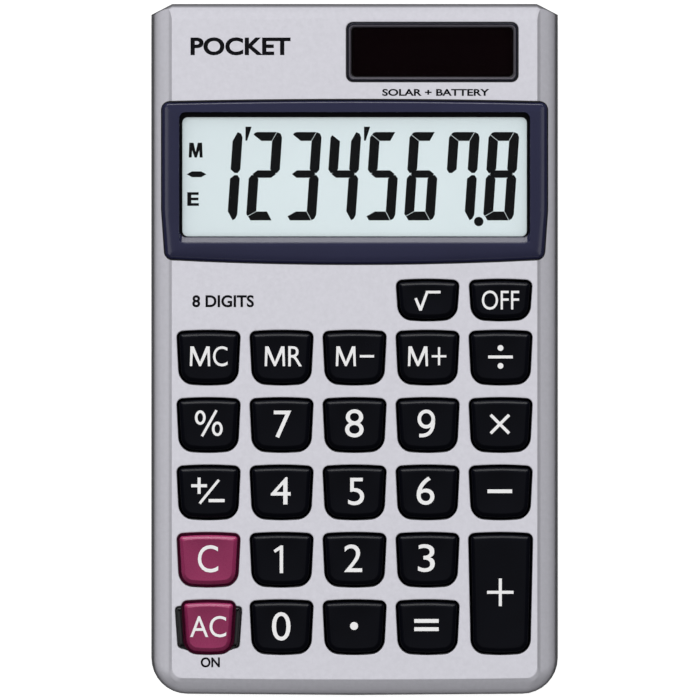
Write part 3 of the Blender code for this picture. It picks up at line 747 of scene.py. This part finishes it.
def rib_outline(side, grow):
    """One of the two ribs beside the AC key, leaning in towards the bottom."""
    near = AC_HOLE[0] / 2 - grow
    far = AC_HOLE[0] / 2 + RIB_WIDTH + grow
    low = RIB_Y[0] - grow
    high = RIB_Y[1] + grow
    corners = [(near - RIB_SLANT, low), (far - RIB_SLANT, low), (far, high), (near, high)]
    radii = [0.25, 0.8, 0.6, 0.25]
    if side < 0:
        corners = [(-x, y) for x, y in corners[::-1]]
        radii = radii[::-1]
    return moved(rounded_polygon(corners, radii, 4, between=2), AC_CENTRE)


def ac_opening(grow):
    """The hole round the AC key and its ribs: the key's outline, widened where the ribs stand."""
    centre_x = AC_CENTRE[0]
    beyond = centre_x + AC_HOLE[0] / 2 + 0.2
    pairs = zip(rib_outline(1, 0.15), rib_outline(1, 0.15 + grow))
    right = sorted((point for base, point in pairs if base[0] > beyond), key=lambda point: point[1])
    left = [(2 * centre_x - x, y) for x, y in right[::-1]]
    outline = []
    for base, point in zip(key_outline(AC_HOLE), moved(key_outline(AC_HOLE, grow), AC_CENTRE)):
        if RIB_Y[0] - 0.15 < base[1] < RIB_Y[1] + 0.15:
            outline.extend(right if base[0] > 0 else left)
            right, left = ([], left) if base[0] > 0 else (right, [])
        else:
            outline.append(point)
    return outline


def panel_rim(grow_outline, bm, lower_z):
    """The rounded rim and the wall of a hole; returns its upper and its lower loop."""
    rings = [at_height(grow_outline(grow), FACE_Z - drop) for grow, drop in HOLE_RIM]
    rings.append(at_height(grow_outline(0.0), lower_z))
    loops = add_rings(bm, rings)
    return loops[0], loops[-1]


def front_plate():
    """Thin silver front: flat face, bevelled flanks and foot, and a rounded top end."""
    outer = [
        # z, then how far in from the sides, the top end and the bottom end
        (FACE_Z, FLANK + 0.2, 2.8, 3.0),
        (FACE_Z, FLANK, 2.6, 2.8),
        (7.87, 3.35, 1.45, 2.47),
        (7.73, 3.05, 0.68, 2.1),
        (7.48, 2.3, 0.34, 1.5),
        (7.23, 1.6, 0.2, 0.95),
        (7.02, 1.1, 0.14, 0.6),
        (6.84, 0.75, 0.1, 0.36),
        (6.65, 0.5, 0.08, 0.22),
        (PANEL_EDGE_Z, 0.42, 0.07, 0.18),
    ]
    inner_top = FACE_Z - PANEL_WALL
    inner = [
        (PANEL_EDGE_Z, 0.55, 0.35, 0.45),
        (6.6, 1.2, 0.9, 1.0),
        (6.9, 2.4, 1.4, 2.1),
        (inner_top, FLANK + 0.1, 2.5, 2.9),
    ]
    bm = bmesh.new()
    rings = [at_height(body_outline(*step[1:]), step[0]) for step in softened(outer, 0.16, 2) + inner]
    loops = add_rings(bm, rings)
    tops = [loops[0]]
    undersides = [loops[-1]]
    for name, (centre, hole) in PLACES.items():
        if name == "key_ac":
            top, under = panel_rim(ac_opening, bm, inner_top)
        else:
            top, under = panel_rim(lambda grow: moved(key_outline(hole, grow), centre), bm, inner_top)
        tops.append(top)
        undersides.append(under)

    def solar_outline(grow):
        size = (SOLAR_SIZE[0] + 0.4 + 2 * grow, SOLAR_SIZE[1] + 0.4 + 2 * grow)
        return rounded_rectangle(SOLAR_CENTRE, size, 1.2 + grow)

    top, under = panel_rim(solar_outline, bm, inner_top)
    tops.append(top)
    undersides.append(under)
    fill_between(bm, tops)
    fill_between(bm, undersides)
    plate = make_object("front_plate", bm, PLATE_SHARP)

    tool = bmesh.new()
    add_sheet(tool, [frame_outline(-0.2, 1.3)], (FRAME_LOW.z - 2.0, FACE_Z + 1.0))
    carve(plate, make_object("frame_cutter", tool, PLATE_SHARP), PLATE_SHARP)
    finish_piece(plate, METAL, stands_for=["front_panel"])


def display_bezel():
    """Glossy frame round the display: bevelled outside, steep walls inside and a ramp along the bottom."""
    low, high = OPENING_Y
    top = FRAME_HIGH.z
    foot = FRAME_LOW.z
    outer = [(0.0, foot), (0.0, top - 1.0), (0.14, top - 0.62), (0.45, top - 0.27), (1.4, top)]
    rings = [at_height(frame_outline(inset), z) for inset, z in softened(outer, 0.2, 3)]

    def mouth(share, z):
        """The opening's outline, from its foot at share 0 to its mouth at share 1."""
        side = OPENING_HALF + BORDER_AND_PAINTED_SHADE[0] + 0.06 * share
        outline = opening_outline(side, low - OPENING_RAMP * share, high + BORDER_AND_PAINTED_SHADE[1] + 0.06 * share, 1.1)
        return at_height(outline, z)

    for share, drop in RAMP:
        rings.append(mouth(share, top - drop))
    rings.append(mouth(0.0, foot))
    ring_piece("display_bezel", rings, 34, NAVY_PLASTIC, stands_for=["display_frame"])

    # Black print round the inside of the window, widest along the top: partly a printed border, partly
    # painted shade standing in for the opening's shaded inner walls.
    window_low, window_high = box("display_window")
    edge = 0.03
    outside = opening_outline(window_high.x - edge, window_low.y + edge, window_high.y - edge, 0.4)
    inside = opening_outline(OPENING_HALF, low + 0.12, high, 0.95)
    print_low = window_high.z - 0.01
    print_high = window_high.z + 0.02
    steps = [(outside, print_low), (outside, print_high), (inside, print_high), (inside, print_low)]
    ring_piece("window_border", [at_height(outline, z) for outline, z in steps], 30, LCD_INK)


def solar_bezel():
    """Thin dark frame flush with the plate, with an inner lip round the cell's window in lighter plastic, a
    painted highlight.
    """
    top = SOLAR_HIGH.z
    frame_steps = [
        # how far in from the outside, z, corner radius
        (0.0, SOLAR_LOW.z, 1.0), (0.0, top - 0.16, 1.0), (0.05, top - 0.05, 1.0), (0.12, top, 0.95),
        (0.2, top, 0.88), (0.26, top - 0.07, 0.85), (0.26, SOLAR_LOW.z, 0.85),
    ]
    lip_steps = [
        (0.28, SOLAR_LOW.z, 0.84), (0.28, top - 0.06, 0.84), (0.34, top - 0.02, 0.8),
        (0.38, top - 0.03, 0.76), (0.53, top - 0.18, 0.66), (0.58, top - 0.3, 0.62),
        (0.66, SOLAR_LOW.z, 0.55),
    ]

    def solar_rings(steps):
        rings = []
        for inset, z, radius in steps:
            size = (SOLAR_SIZE[0] - 2 * inset, SOLAR_SIZE[1] - 2 * inset)
            rings.append(at_height(rounded_rectangle(SOLAR_CENTRE, size, radius), z))
        return rings

    ring_piece("solar_bezel", solar_rings(frame_steps), 50, DARK_PLASTIC, ["solar_frame"])
    ring_piece("solar_lip", solar_rings(lip_steps), 50, LIP_PAINTED_HIGHLIGHT)


def ac_guard():
    """Flat ring round the AC key, and the two rounded ribs that keep it from being pressed by accident."""
    low, high = box("ac_key_guard")
    ring_top = low.z + 0.5
    outside = rounded_rectangle(*plan("ac_key_guard"), 1.5)
    bm = bmesh.new()
    add_sheet(bm, [outside, moved(key_outline(AC_HOLE), AC_CENTRE)], (low.z, ring_top))
    steps = [
        # how far out from the rib's outline, then z
        (-0.06, ring_top - 0.2), (-0.06, high.z - 0.3), (-0.12, high.z - 0.1), (-0.24, high.z),
        (-0.38, high.z),
    ]
    for side in (-1, 1):
        loops = add_rings(bm, [at_height(rib_outline(side, grow), z) for grow, z in steps])
        for end in (0, -1):
            fill_between(bm, [loops[end]])
    guard = make_object("ac_guard", bm, 50)
    finish_piece(guard, GUARD_BLACK, stands_for=["ac_key_guard"])


# ---- keys


def dish(hole):
    """How far a key's top dips below its rim at a point, measured from its centre."""
    half_x = hole[0] / 2 - GAP - RIM_INSET
    half_y = hole[1] / 2 - GAP - RIM_INSET

    def depth(x, y):
        return DISH_DEPTH * max(1 - (x / half_x) ** 2, 0.0) * max(1 - (y / half_y) ** 2, 0.0)

    return depth


def key_cap(name):
    """A key with its stem and flange, a bevelled edge and a dished top."""
    low, high = box(name)
    centre, hole = PLACES[name]
    flange_low = low.z + STEM_LENGTH
    flange_high = flange_low + FLANGE_HEIGHT
    red = name in ("key_ac", "key_c")
    side = -GAP - CAP_SHRINK - (RED_CAP_SHRINK if red else 0.0)
    cap = key_outline(hole, side)
    flange = key_outline(hole, FLANGE_OVERHANG, 1.4, 1.4)
    stem = on_circle(cap, STEM_RADIUS)
    steps = [
        (scaled(stem, 0.9), low.z),
        (stem, low.z + 0.1),
        (stem, flange_low),
        (flange, flange_low),
        (flange, flange_high),
        (key_outline(hole, side + 0.08), flange_high),
        (cap, flange_high + 0.1),
        *((key_outline(hole, side - inset), high.z - drop) for inset, drop in CAP_EDGE),
        (key_outline(hole, -GAP - CAP_SHRINK - 0.7), high.z - 0.012),
        (key_outline(hole, -GAP - RIM_INSET), high.z),
    ]
    rim = steps[-1][0]
    depth = dish(hole)
    rings = [at_height(outline, z) for outline, z in steps]
    for share in DISH_STEPS:
        rings.append([(x, y, high.z - depth(x, y)) for x, y in scaled(rim, share)])
    bm = bmesh.new()
    loops = add_rings(bm, rings)
    cap_fan(bm, loops[0], (0.0, 0.0, low.z))
    cap_fan(bm, loops[-1], (0.0, 0.0, high.z - depth(0.0, 0.0)))
    bmesh.ops.translate(bm, verts=bm.verts, vec=(*centre, 0.0))
    thing = make_object(name + "_cap", bm, 60)
    material = RED_KEY if red else BLACK_KEY
    finish_piece(thing, material, name, [name], weighted=False)


def number_one():
    """The figure 1, with its flag."""
    flag = [(0.32, 2.37), (-0.1, 2.37), (-1.32, 1.56), (-1.05, 1.13), (-0.26, 1.62)]
    return flat_shape([[(0.32, -2.37), *flag, (-0.26, -2.37)]])


def figure_nine():
    """The figure 9: a round bowl, and a tail that curls back to end level."""
    bowl = oval((-0.2, 0.92), 1.2, 1.33)
    tail = [(1.0, 1.09), (1.02, 0.34), (0.92, -0.46), (0.6, -1.21), (0.0, -1.73), (-0.7, -1.92)]
    tail.append((-1.4, -1.92))
    return joined([ring_shape(bowl, 0.6), flat_shape([stroke(softened(tail, 0.5, 3), 0.6)])])


def root_sign():
    tick = stroke([(-2.02, 0.2), (-1.15, -1.9)], 0.46)
    rise = stroke([(-1.2, -1.9), (-0.05, 1.24), (2.26, 1.24)], 0.46)
    return flat_shape([tick, rise])


def divide_sign():
    dots = [circle((0.0, y), 0.5, 20) for y in (1.54, -1.53)]
    return flat_shape([bar((0.0, 0.0), 4.24, 0.5), *dots])


def percent_sign():
    """Two upright rings either side of a slanted stroke."""
    rings = [ring_shape(oval(place, 0.7, 1.02), 0.45) for place in ((-1.35, 1.17), (1.58, -0.76))]
    slash = stroke([(-1.06, -2.03), (1.43, 2.42)], 0.45)
    return joined([*rings, flat_shape([slash])])


def sign_change():
    slash = stroke([(-1.45, -2.0), (1.85, 2.05)], 0.45)
    return flat_shape([plus((-1.55, 1.05), 2.7, 2.8, 0.52), slash, bar((1.45, -1.5), 2.75, 0.55)])


def letter_m(centre, width, height, thick):
    """The letter M as one outline, its middle reaching the foot line."""
    x = width / 2
    y = height / 2
    lean = 0.1
    shoulder = 1.45 * thick
    half = [
        (0.38 * thick, -y),
        (x - thick - lean, y - 2.6 * thick),
        (x - thick, -y),
        (x, -y),
        (x - lean, y),
        (x - lean - shoulder, y),
    ]
    notch = (0.0, -y + 1.9 * thick)
    mirrored = [(-px, py) for px, py in half[::-1]]
    return moved(half + [notch] + mirrored, centre)


def memory(sign, shift):
    """M followed by a small sign, the pair shifted along the key."""
    pair = [letter_m((-1.62, 0.12), 3.45, 3.4, 0.4), sign]
    return flat_shape([moved(outline, (shift, 0.0)) for outline in pair])


def memory_word(letter, width, shift):
    """M followed by a capital, the pair shifted along the key."""
    first = flat_shape([letter_m((shift - 1.39, 0.12), 3.5, 3.4, 0.4)])
    return joined([first, text_shape(letter, 3.45, width, 0.0, (shift + 2.08, 0.12))])


FIGURE_PRINTS = {
    # height, width and centre
    "0": (4.9, 3.19, (0.0, 0.06)),
    "2": (4.74, 3.09, (-0.2, 0.18)),
    "3": (4.78, 2.9, (-0.17, 0.2)),
    "4": (4.68, 3.41, (-0.09, 0.18)),
    "5": (4.7, 2.76, (0.31, 0.06)),
    "6": (4.86, 3.06, (-0.32, 0.19)),
    "7": (4.7, 3.0, (0.22, 0.02)),
    "8": (4.84, 3.18, (0.01, 0.18)),
}


def legends():
    """Each key's print, by name."""
    prints = {}
    for figure, (height, width, centre) in FIGURE_PRINTS.items():
        prints[f"key_{figure}"] = text_shape(figure, height, width, 0.0, centre)
    prints["key_9"] = figure_nine()
    prints["key_1"] = number_one()
    prints["key_sqrt"] = root_sign()
    prints["key_off"] = text_shape("OFF", 3.3, 6.4, 0.0, (0.0, -0.14))
    prints["key_mc"] = memory_word("C", 2.5, 0.0)
    prints["key_mr"] = memory_word("R", 2.35, 0.3)
    prints["key_m_minus"] = memory(bar((2.0, 0.12), 2.45, 0.42), 0.17)
    prints["key_m_plus"] = memory(plus((2.0, 0.12), 2.5, 3.1, 0.38), 0.0)
    prints["key_divide"] = divide_sign()
    prints["key_percent"] = percent_sign()
    cross = turned_outline(plus((0.0, 0.0), 4.47, 4.47, 0.52), 45)
    prints["key_multiply"] = flat_shape([moved(cross, (-0.1, 0.05))])
    prints["key_sign"] = sign_change()
    prints["key_minus"] = flat_shape([bar((-0.12, 0.1), 4.23, 0.64)])
    prints["key_c"] = text_shape("C", 4.7, 3.5, 0.0, (-0.02, 0.08))
    prints["key_ac"] = text_shape("AC", 3.65, 6.2)
    prints["key_point"] = flat_shape([circle((-0.04, 0.12), 0.69, 24)])
    prints["key_equals"] = flat_shape([bar((-0.16, y), 4.2, 0.66) for y in (0.99, -0.42)])
    prints["key_plus"] = flat_shape([plus((-0.03, 0.12), 4.55, 4.75, 0.52)])
    return prints


def keys():
    for name in KEYS:
        key_cap(name)
    for name, shape in legends().items():
        centre, hole = PLACES[name]
        top = box(name)[1].z
        depth = dish(hole)
        bmesh.ops.translate(shape, verts=shape.verts, vec=(*LEGEND_PLACE, 0.0))
        print_on(name + "_legend", shape, centre, lambda x, y: top - depth(x, y), WHITE_INK, name)


def keypad():
    """Silicone sheet, and a separate dome under each key."""
    low, high = box("rubber_keypad")
    sheet_z = (low.z, low.z + SHEET_THICK)
    holes = [circle(place, 2.6, 24) for place, _ in PLACES.values()]
    bm = bmesh.new()
    add_sheet(bm, [rounded_rectangle(*plan("rubber_keypad"), 2.0), *holes], sheet_z)
    sheet = make_object("keypad_sheet", bm, 40)
    finish_piece(sheet, SILICONE, stands_for=["rubber_keypad"])
    base = sheet_z[1] + 0.01
    underside = [(0.5, base + 0.3), (1.3, base + 0.3), (1.6, base + 0.34), (2.7, base)]
    outside = [(3.2, base), (3.1, base + 0.1), (2.3, base + 0.72), (2.0, high.z - 0.1), (1.8, high.z)]
    for joint in frame["joints"]:
        place, _ = PLACES[joint["child"]]
        dome_mesh = bmesh.new()
        add_turned(dome_mesh, place, [*underside, *outside, (0.6, high.z)], 24)
        dome = make_object(joint["child"] + "_dome", dome_mesh, 50)
        finish_piece(dome, SILICONE, weighted=False)
        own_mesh(dome)


# ---- display


def segments():
    """The seven segments' outlines, by letter, upright and from the digit's left edge and middle."""
    w = DIGIT_WIDTH
    top = DIGIT_TOP
    foot = DIGIT_BOTTOM
    inner = w - STROKE
    ceiling = top - BAR
    ground = foot + BAR
    return {
        "a": [(0.3, top - 0.5), (STROKE, ceiling), (inner, ceiling), (w - 0.95, top), (1.0, top),
              (0.55, top - 0.14)],
        "b": [(w - 0.95, top), (inner, ceiling), (inner, LENS + 0.1), (w - 1.0, 0.14), (w - 0.45, 0.14),
              (w, 0.75), (w, top - 0.95), (w - 0.3, top - 0.28)],
        "c": [(w - 1.0, -0.14), (inner, -LENS - 0.1), (inner, ground), (w - 0.8, foot), (w - 0.3, foot + 0.3),
              (w, foot + 1.0), (w, -0.75), (w - 0.45, -0.14)],
        "d": [(0.3, foot + 0.75), (0.8, foot), (w - 0.8, foot), (inner, ground), (STROKE, ground)],
        "e": [(0.45, -0.14), (0.0, -0.75), (0.0, foot + 1.1), (0.3, foot + 0.75), (STROKE, ground),
              (STROKE, -LENS - 0.1), (1.0, -0.14)],
        "f": [(0.3, top - 0.5), (0.0, top - 0.95), (0.0, 0.75), (0.45, 0.14), (1.0, 0.14),
              (STROKE, LENS + 0.1), (STROKE, ceiling)],
        "g": [(0.55, 0.0), (1.45, -LENS), (w - 1.45, -LENS), (w - 0.55, 0.0), (w - 1.45, LENS), (1.45, LENS)],
    }


def anticlockwise(outline):
    area = sum(a[0] * b[1] - b[0] * a[1] for a, b in zip(outline, outline[1:] + outline[:1]))
    return outline if area > 0 else outline[::-1]


def display():
    """The figures 1 to 8 with their marks, on the film under the clear window."""
    film_z = box("lcd_polariser")[1].z
    middle = plan("lcd_front_glass")[0][1] + DIGITS_RAISED
    shapes = segments()
    lefts = [LAST_DIGIT_X - (len(LIT) - 1 - place) * DIGIT_PITCH for place in range(len(LIT))]

    def slanted(outline, left):
        return [(left + x + y * DIGIT_SLANT, middle + y) for x, y in outline]

    outlines = []
    for left, letters in zip(lefts, LIT):
        for letter in letters:
            outlines.append(slanted(inset_outline(anticlockwise(shapes[letter]), SEGMENT_GAP), left))
    flat_print("lcd_digits", flat_shape(outlines), (0.0, 0.0), film_z, LCD_INK)

    comma = [(0.5, 5.75), (0.8, 5.75), (1.4, 8.15), (0.35, 8.15)]
    minus = [(-1.7, 0.0), (-0.8, -0.5), (0.8, -0.5), (1.7, 0.0), (0.8, 0.5), (-0.8, 0.5)]
    marks = [slanted(comma, lefts[place] + DIGIT_WIDTH) for place in (0, 3)]
    marks.append(circle((LAST_DIGIT_X - 1.22, middle + DIGIT_BOTTOM - 0.16), 0.81, 24))
    marks.append(moved(minus, (-27.2, middle - 0.04)))
    marks.append(letter_m((-27.35, middle + 4.12), 2.4, 2.55, 0.5))
    letter = text_shape("E", 2.35, 2.0, 0.03, (-27.8, middle - 4.3))
    flat_print("lcd_marks", joined([letter, flat_shape(marks)]), (0.0, 0.0), film_z, LCD_INK)


# ---- prints


def prints():
    """Generic words on the plate, in place of names and slogans."""
    words = [
        # piece, words, height, width, weight and centre
        ("print_pocket", "POCKET", 3.1, 17.2, 0.032, (-19.6, 52.1)),
        ("print_power", "SOLAR + BATTERY", 1.2, 18.4, 0.03, (SOLAR_CENTRE[0] + 0.6, SOLAR_LOW.y - 2.07)),
        ("print_digits", "8 DIGITS", 2.1, 10.6, 0.028, (-22.6, PLACES["key_off"][0][1] - 0.2)),
        ("print_on", "ON", 1.75, 3.3, 0.03, (AC_CENTRE[0] + 0.3, AC_CENTRE[1] - 6.05)),
    ]
    for name, text, height, width, weight, centre in words:
        flat_print(name, text_shape(text, height, width, weight), centre, FACE_Z, DARK_INK)


# ---- rear


def case_screw(node):
    """A pan-head screw with a cross recess, head down, and a plain shank."""
    low, high = box(node)
    centre = plan(node)[0]
    head = [(1.25, 0.0), (1.55, 0.05), (1.78, 0.18), (1.85, 0.36), (1.85, 0.7), (1.8, 0.75), (0.85, 0.75)]
    profile = [(radius, low.z + up) for radius, up in head]
    bm = bmesh.new()
    add_turned(bm, centre, [*profile, (0.85, high.z - 0.35), (0.6, high.z)], 40)
    thing = make_object(node.replace("case_", ""), bm, 40)
    arm = [(-1.05, -0.2), (1.05, -0.2), (1.05, 0.2), (-1.05, 0.2)]
    tip = [(-0.6, -0.1), (0.6, -0.1), (0.6, 0.1), (-0.6, 0.1)]
    for angle in (45, 135):
        tool = bmesh.new()
        rings = []
        for outline, depth in ((arm, -0.2), (arm, 0.05), (tip, 0.55)):
            rings.append(at_height(moved(turned_outline(outline, angle), centre), low.z + depth))
        loops = add_rings(tool, rings)
        tool.faces.new(loops[0])
        tool.faces.new(loops[-1])
        carve(thing, make_object("recess_cutter", tool, 30), 40)
    finish_piece(thing, STEEL, stands_for=[node])


def smoothing():
    """Node group that welds a CAD mesh and shades it smooth, with its sharp edges kept."""
    group = bpy.data.node_groups.new("Smooth CAD shading", "GeometryNodeTree")
    for way in ("INPUT", "OUTPUT"):
        group.interface.new_socket("Geometry", in_out=way, socket_type="NodeSocketGeometry")
    start = group.nodes.new("NodeGroupInput")
    weld = group.nodes.new("GeometryNodeMergeByDistance")
    weld.inputs["Distance"].default_value = 1e-6
    drop = group.nodes.new("GeometryNodeRemoveAttribute")
    drop.inputs["Name"].default_value = "custom_normal"
    smooth = group.nodes.new("GeometryNodeSetShadeSmooth")
    smooth.domain = "FACE"
    crease = group.nodes.new("GeometryNodeSetShadeSmooth")
    crease.domain = "EDGE"
    crease.inputs["Shade Smooth"].default_value = False
    chain = [start, weld, drop, smooth, crease, group.nodes.new("NodeGroupOutput")]
    for before, after in zip(chain, chain[1:]):
        group.links.new(before.outputs[0], after.inputs[0])
    angle = group.nodes.new("GeometryNodeInputMeshEdgeAngle")
    compare = group.nodes.new("FunctionNodeCompare")
    compare.operation = "GREATER_THAN"
    compare.inputs[1].default_value = math.radians(PLATE_SHARP)
    group.links.new(angle.outputs["Unsigned Angle"], compare.inputs[0])
    group.links.new(compare.outputs["Result"], crease.inputs["Selection"])
    return group


CARRIED = {
    CASE_GREY_RIM_SHADE: ("upper_case", "rear_cover"),
    CLEAR: ("display_window",),
    SMOKED: ("solar_window",),
    POLARISER: ("lcd_polariser",),
    GLASS: ("lcd_front_glass", "lcd_rear_glass"),
    REFLECTOR: ("lcd_reflector",),
    SILICONE: ("lcd_connector",),
    SOLAR: ("solar_cell",),
    BOARD: ("main_board",),
    EPOXY: ("controller_chip", "regulator_diode"),
    CERAMIC: ("filter_capacitor_left", "filter_capacitor_right"),
    STEEL: ("button_cell",),
    BRASS: ("battery_contact_positive", "battery_contact_negative"),
    RED_LEAD: ("solar_lead_red", "battery_lead_red"),
    BLACK_LEAD: ("solar_lead_black", "battery_lead_black"),
}


def carried_over():
    """Finishes for the CAD nodes that stay, with smooth shading where the surface is round."""
    group = smoothing()
    for material, nodes in CARRIED.items():
        for thing in (frame["nodes"][node] for node in nodes):
            for slot in thing.material_slots:
                slot.material = material
            if material not in (CLEAR, SMOKED):
                thing.modifiers.new("Smooth shading", "NODES").node_group = group


# ---- studio


def softbox(name, azimuth, elevation, size, radiance):
    """A rectangular lamp aimed at the object, from a bearing where 0 is +Y and 90 is +X."""
    lamp = bpy.data.lights.new(name, "AREA")
    lamp.shape = "RECTANGLE"
    lamp.size = size[0]
    lamp.size_y = size[1]
    lamp.energy = radiance * math.pi * size[0] * size[1]
    thing = add_object(name, lamp)
    bearing = math.radians(azimuth)
    rise = math.radians(elevation)
    away = Vector((math.sin(bearing) * math.cos(rise), math.cos(bearing) * math.cos(rise), math.sin(rise)))
    thing.location = away * LAMP_DISTANCE
    thing.rotation_euler = (-away).to_track_quat("-Z", "Y").to_euler()
    return thing


def sky():
    """Soft light from above: brightest a little up and left of overhead, fading towards the horizon."""
    world = bpy.data.worlds.new("studio")
    bpy.context.scene.world = world
    world.use_nodes = True
    tree = world.node_tree
    background = tree.nodes["Background"]
    background.inputs["Color"].default_value = (1.0, 1.0, 1.0, 1.0)
    direction = add_node(tree, "TexCoord").outputs["Generated"]
    dot = add_node(tree, "VectorMath", operation="DOT_PRODUCT")
    dot.inputs[1].default_value = Vector(SKY_LEAN).normalized()
    tree.links.new(direction, dot.inputs[0])
    height = add_node(tree, "SeparateXYZ")
    tree.links.new(direction, height.inputs["Vector"])
    haze = spread(tree, height.outputs["Z"], *HAZE, -0.1, 0.25)
    glow = calculate(tree, "POWER", calculate(tree, "MAXIMUM", dot.outputs["Value"], 0.0), SKY_FOCUS)
    strength = calculate(tree, "MULTIPLY_ADD", glow, SKY_GLOW, haze)
    tree.links.new(strength, background.inputs["Strength"])


def only_on(lamp, pieces):
    """Keeps a lamp's light to some pieces."""
    group = bpy.data.collections.new(lamp.name)
    for piece in pieces:
        group.objects.link(piece)
    lamp.light_linking.receiver_collection = group


def studio():
    """Pale floor, the sky, and low lamps that draw the glints on keys and frames."""
    sky()
    caps = [bpy.data.objects[name + "_cap"] for name in KEYS]
    bezels = [bpy.data.objects[name] for name in ("display_bezel", "solar_lip", "solar_bezel", "ac_guard")]
    only_on(softbox("lamp_strip", 0, 16, (0.7, 0.12), 30.0), caps + bezels)
    only_on(softbox("lamp_top", 0, 26, (0.8, 0.1), 3.5), bezels[:1])
    only_on(softbox("lamp_left", -90, 50, (0.7, 0.3), 6.0), bezels[:2])
    only_on(softbox("lamp_right", 90, 50, (0.7, 0.3), 5.0), bezels[:2])
    only_on(softbox("lamp_bottom", 180, 30, (0.7, 0.25), 1.8), bezels[:2])
    overhead = softbox("lamp_display", 0, 88, (0.1, 0.1), 25.0)
    overhead.data.specular_factor = 0.0
    overhead.visible_camera = False
    only_on(overhead, [frame["nodes"]["lcd_polariser"]])
    bm = bmesh.new()
    bmesh.ops.create_grid(bm, x_segments=4, y_segments=4, size=FLOOR_HALF)
    floor = make_object("floor", bm, 30)
    floor.location.z = -FLOOR_DROP * MM
    material = surface("floor_white", (0.9, 0.9, 0.9), 0.7, (60.0, 0.01), (3.0, 0.01), specular=0.1)
    shader = material.node_tree.nodes["Principled BSDF"]
    shader.inputs["Emission Color"].default_value = (1.0, 1.0, 1.0, 1.0)
    shader.inputs["Emission Strength"].default_value = 0.6
    floor.data.materials.append(material)
    floor.visible_glossy = False


def camera():
    """Looks straight down, as wide as the body and a margin at the height of the face."""
    data = bpy.data.cameras.new("camera")
    data.lens = FOCAL_LENGTH
    data.sensor_width = SENSOR_WIDTH
    distance = VIEW_WIDTH * FOCAL_LENGTH / SENSOR_WIDTH
    thing = add_object("camera", data)
    thing.location = (VIEW_CENTRE[0] * MM, VIEW_CENTRE[1] * MM, (FACE_Z + distance) * MM)
    data.clip_start = 0.01
    bpy.context.scene.camera = thing
    bpy.context.scene.view_settings.view_transform = "Standard"


front_plate()
display_bezel()
solar_bezel()
ac_guard()
keys()
keypad()
display()
prints()
for screw in sorted(name for name in frame["nodes"] if name.startswith("case_screw")):
    case_screw(screw)
carried_over()
studio()
camera()
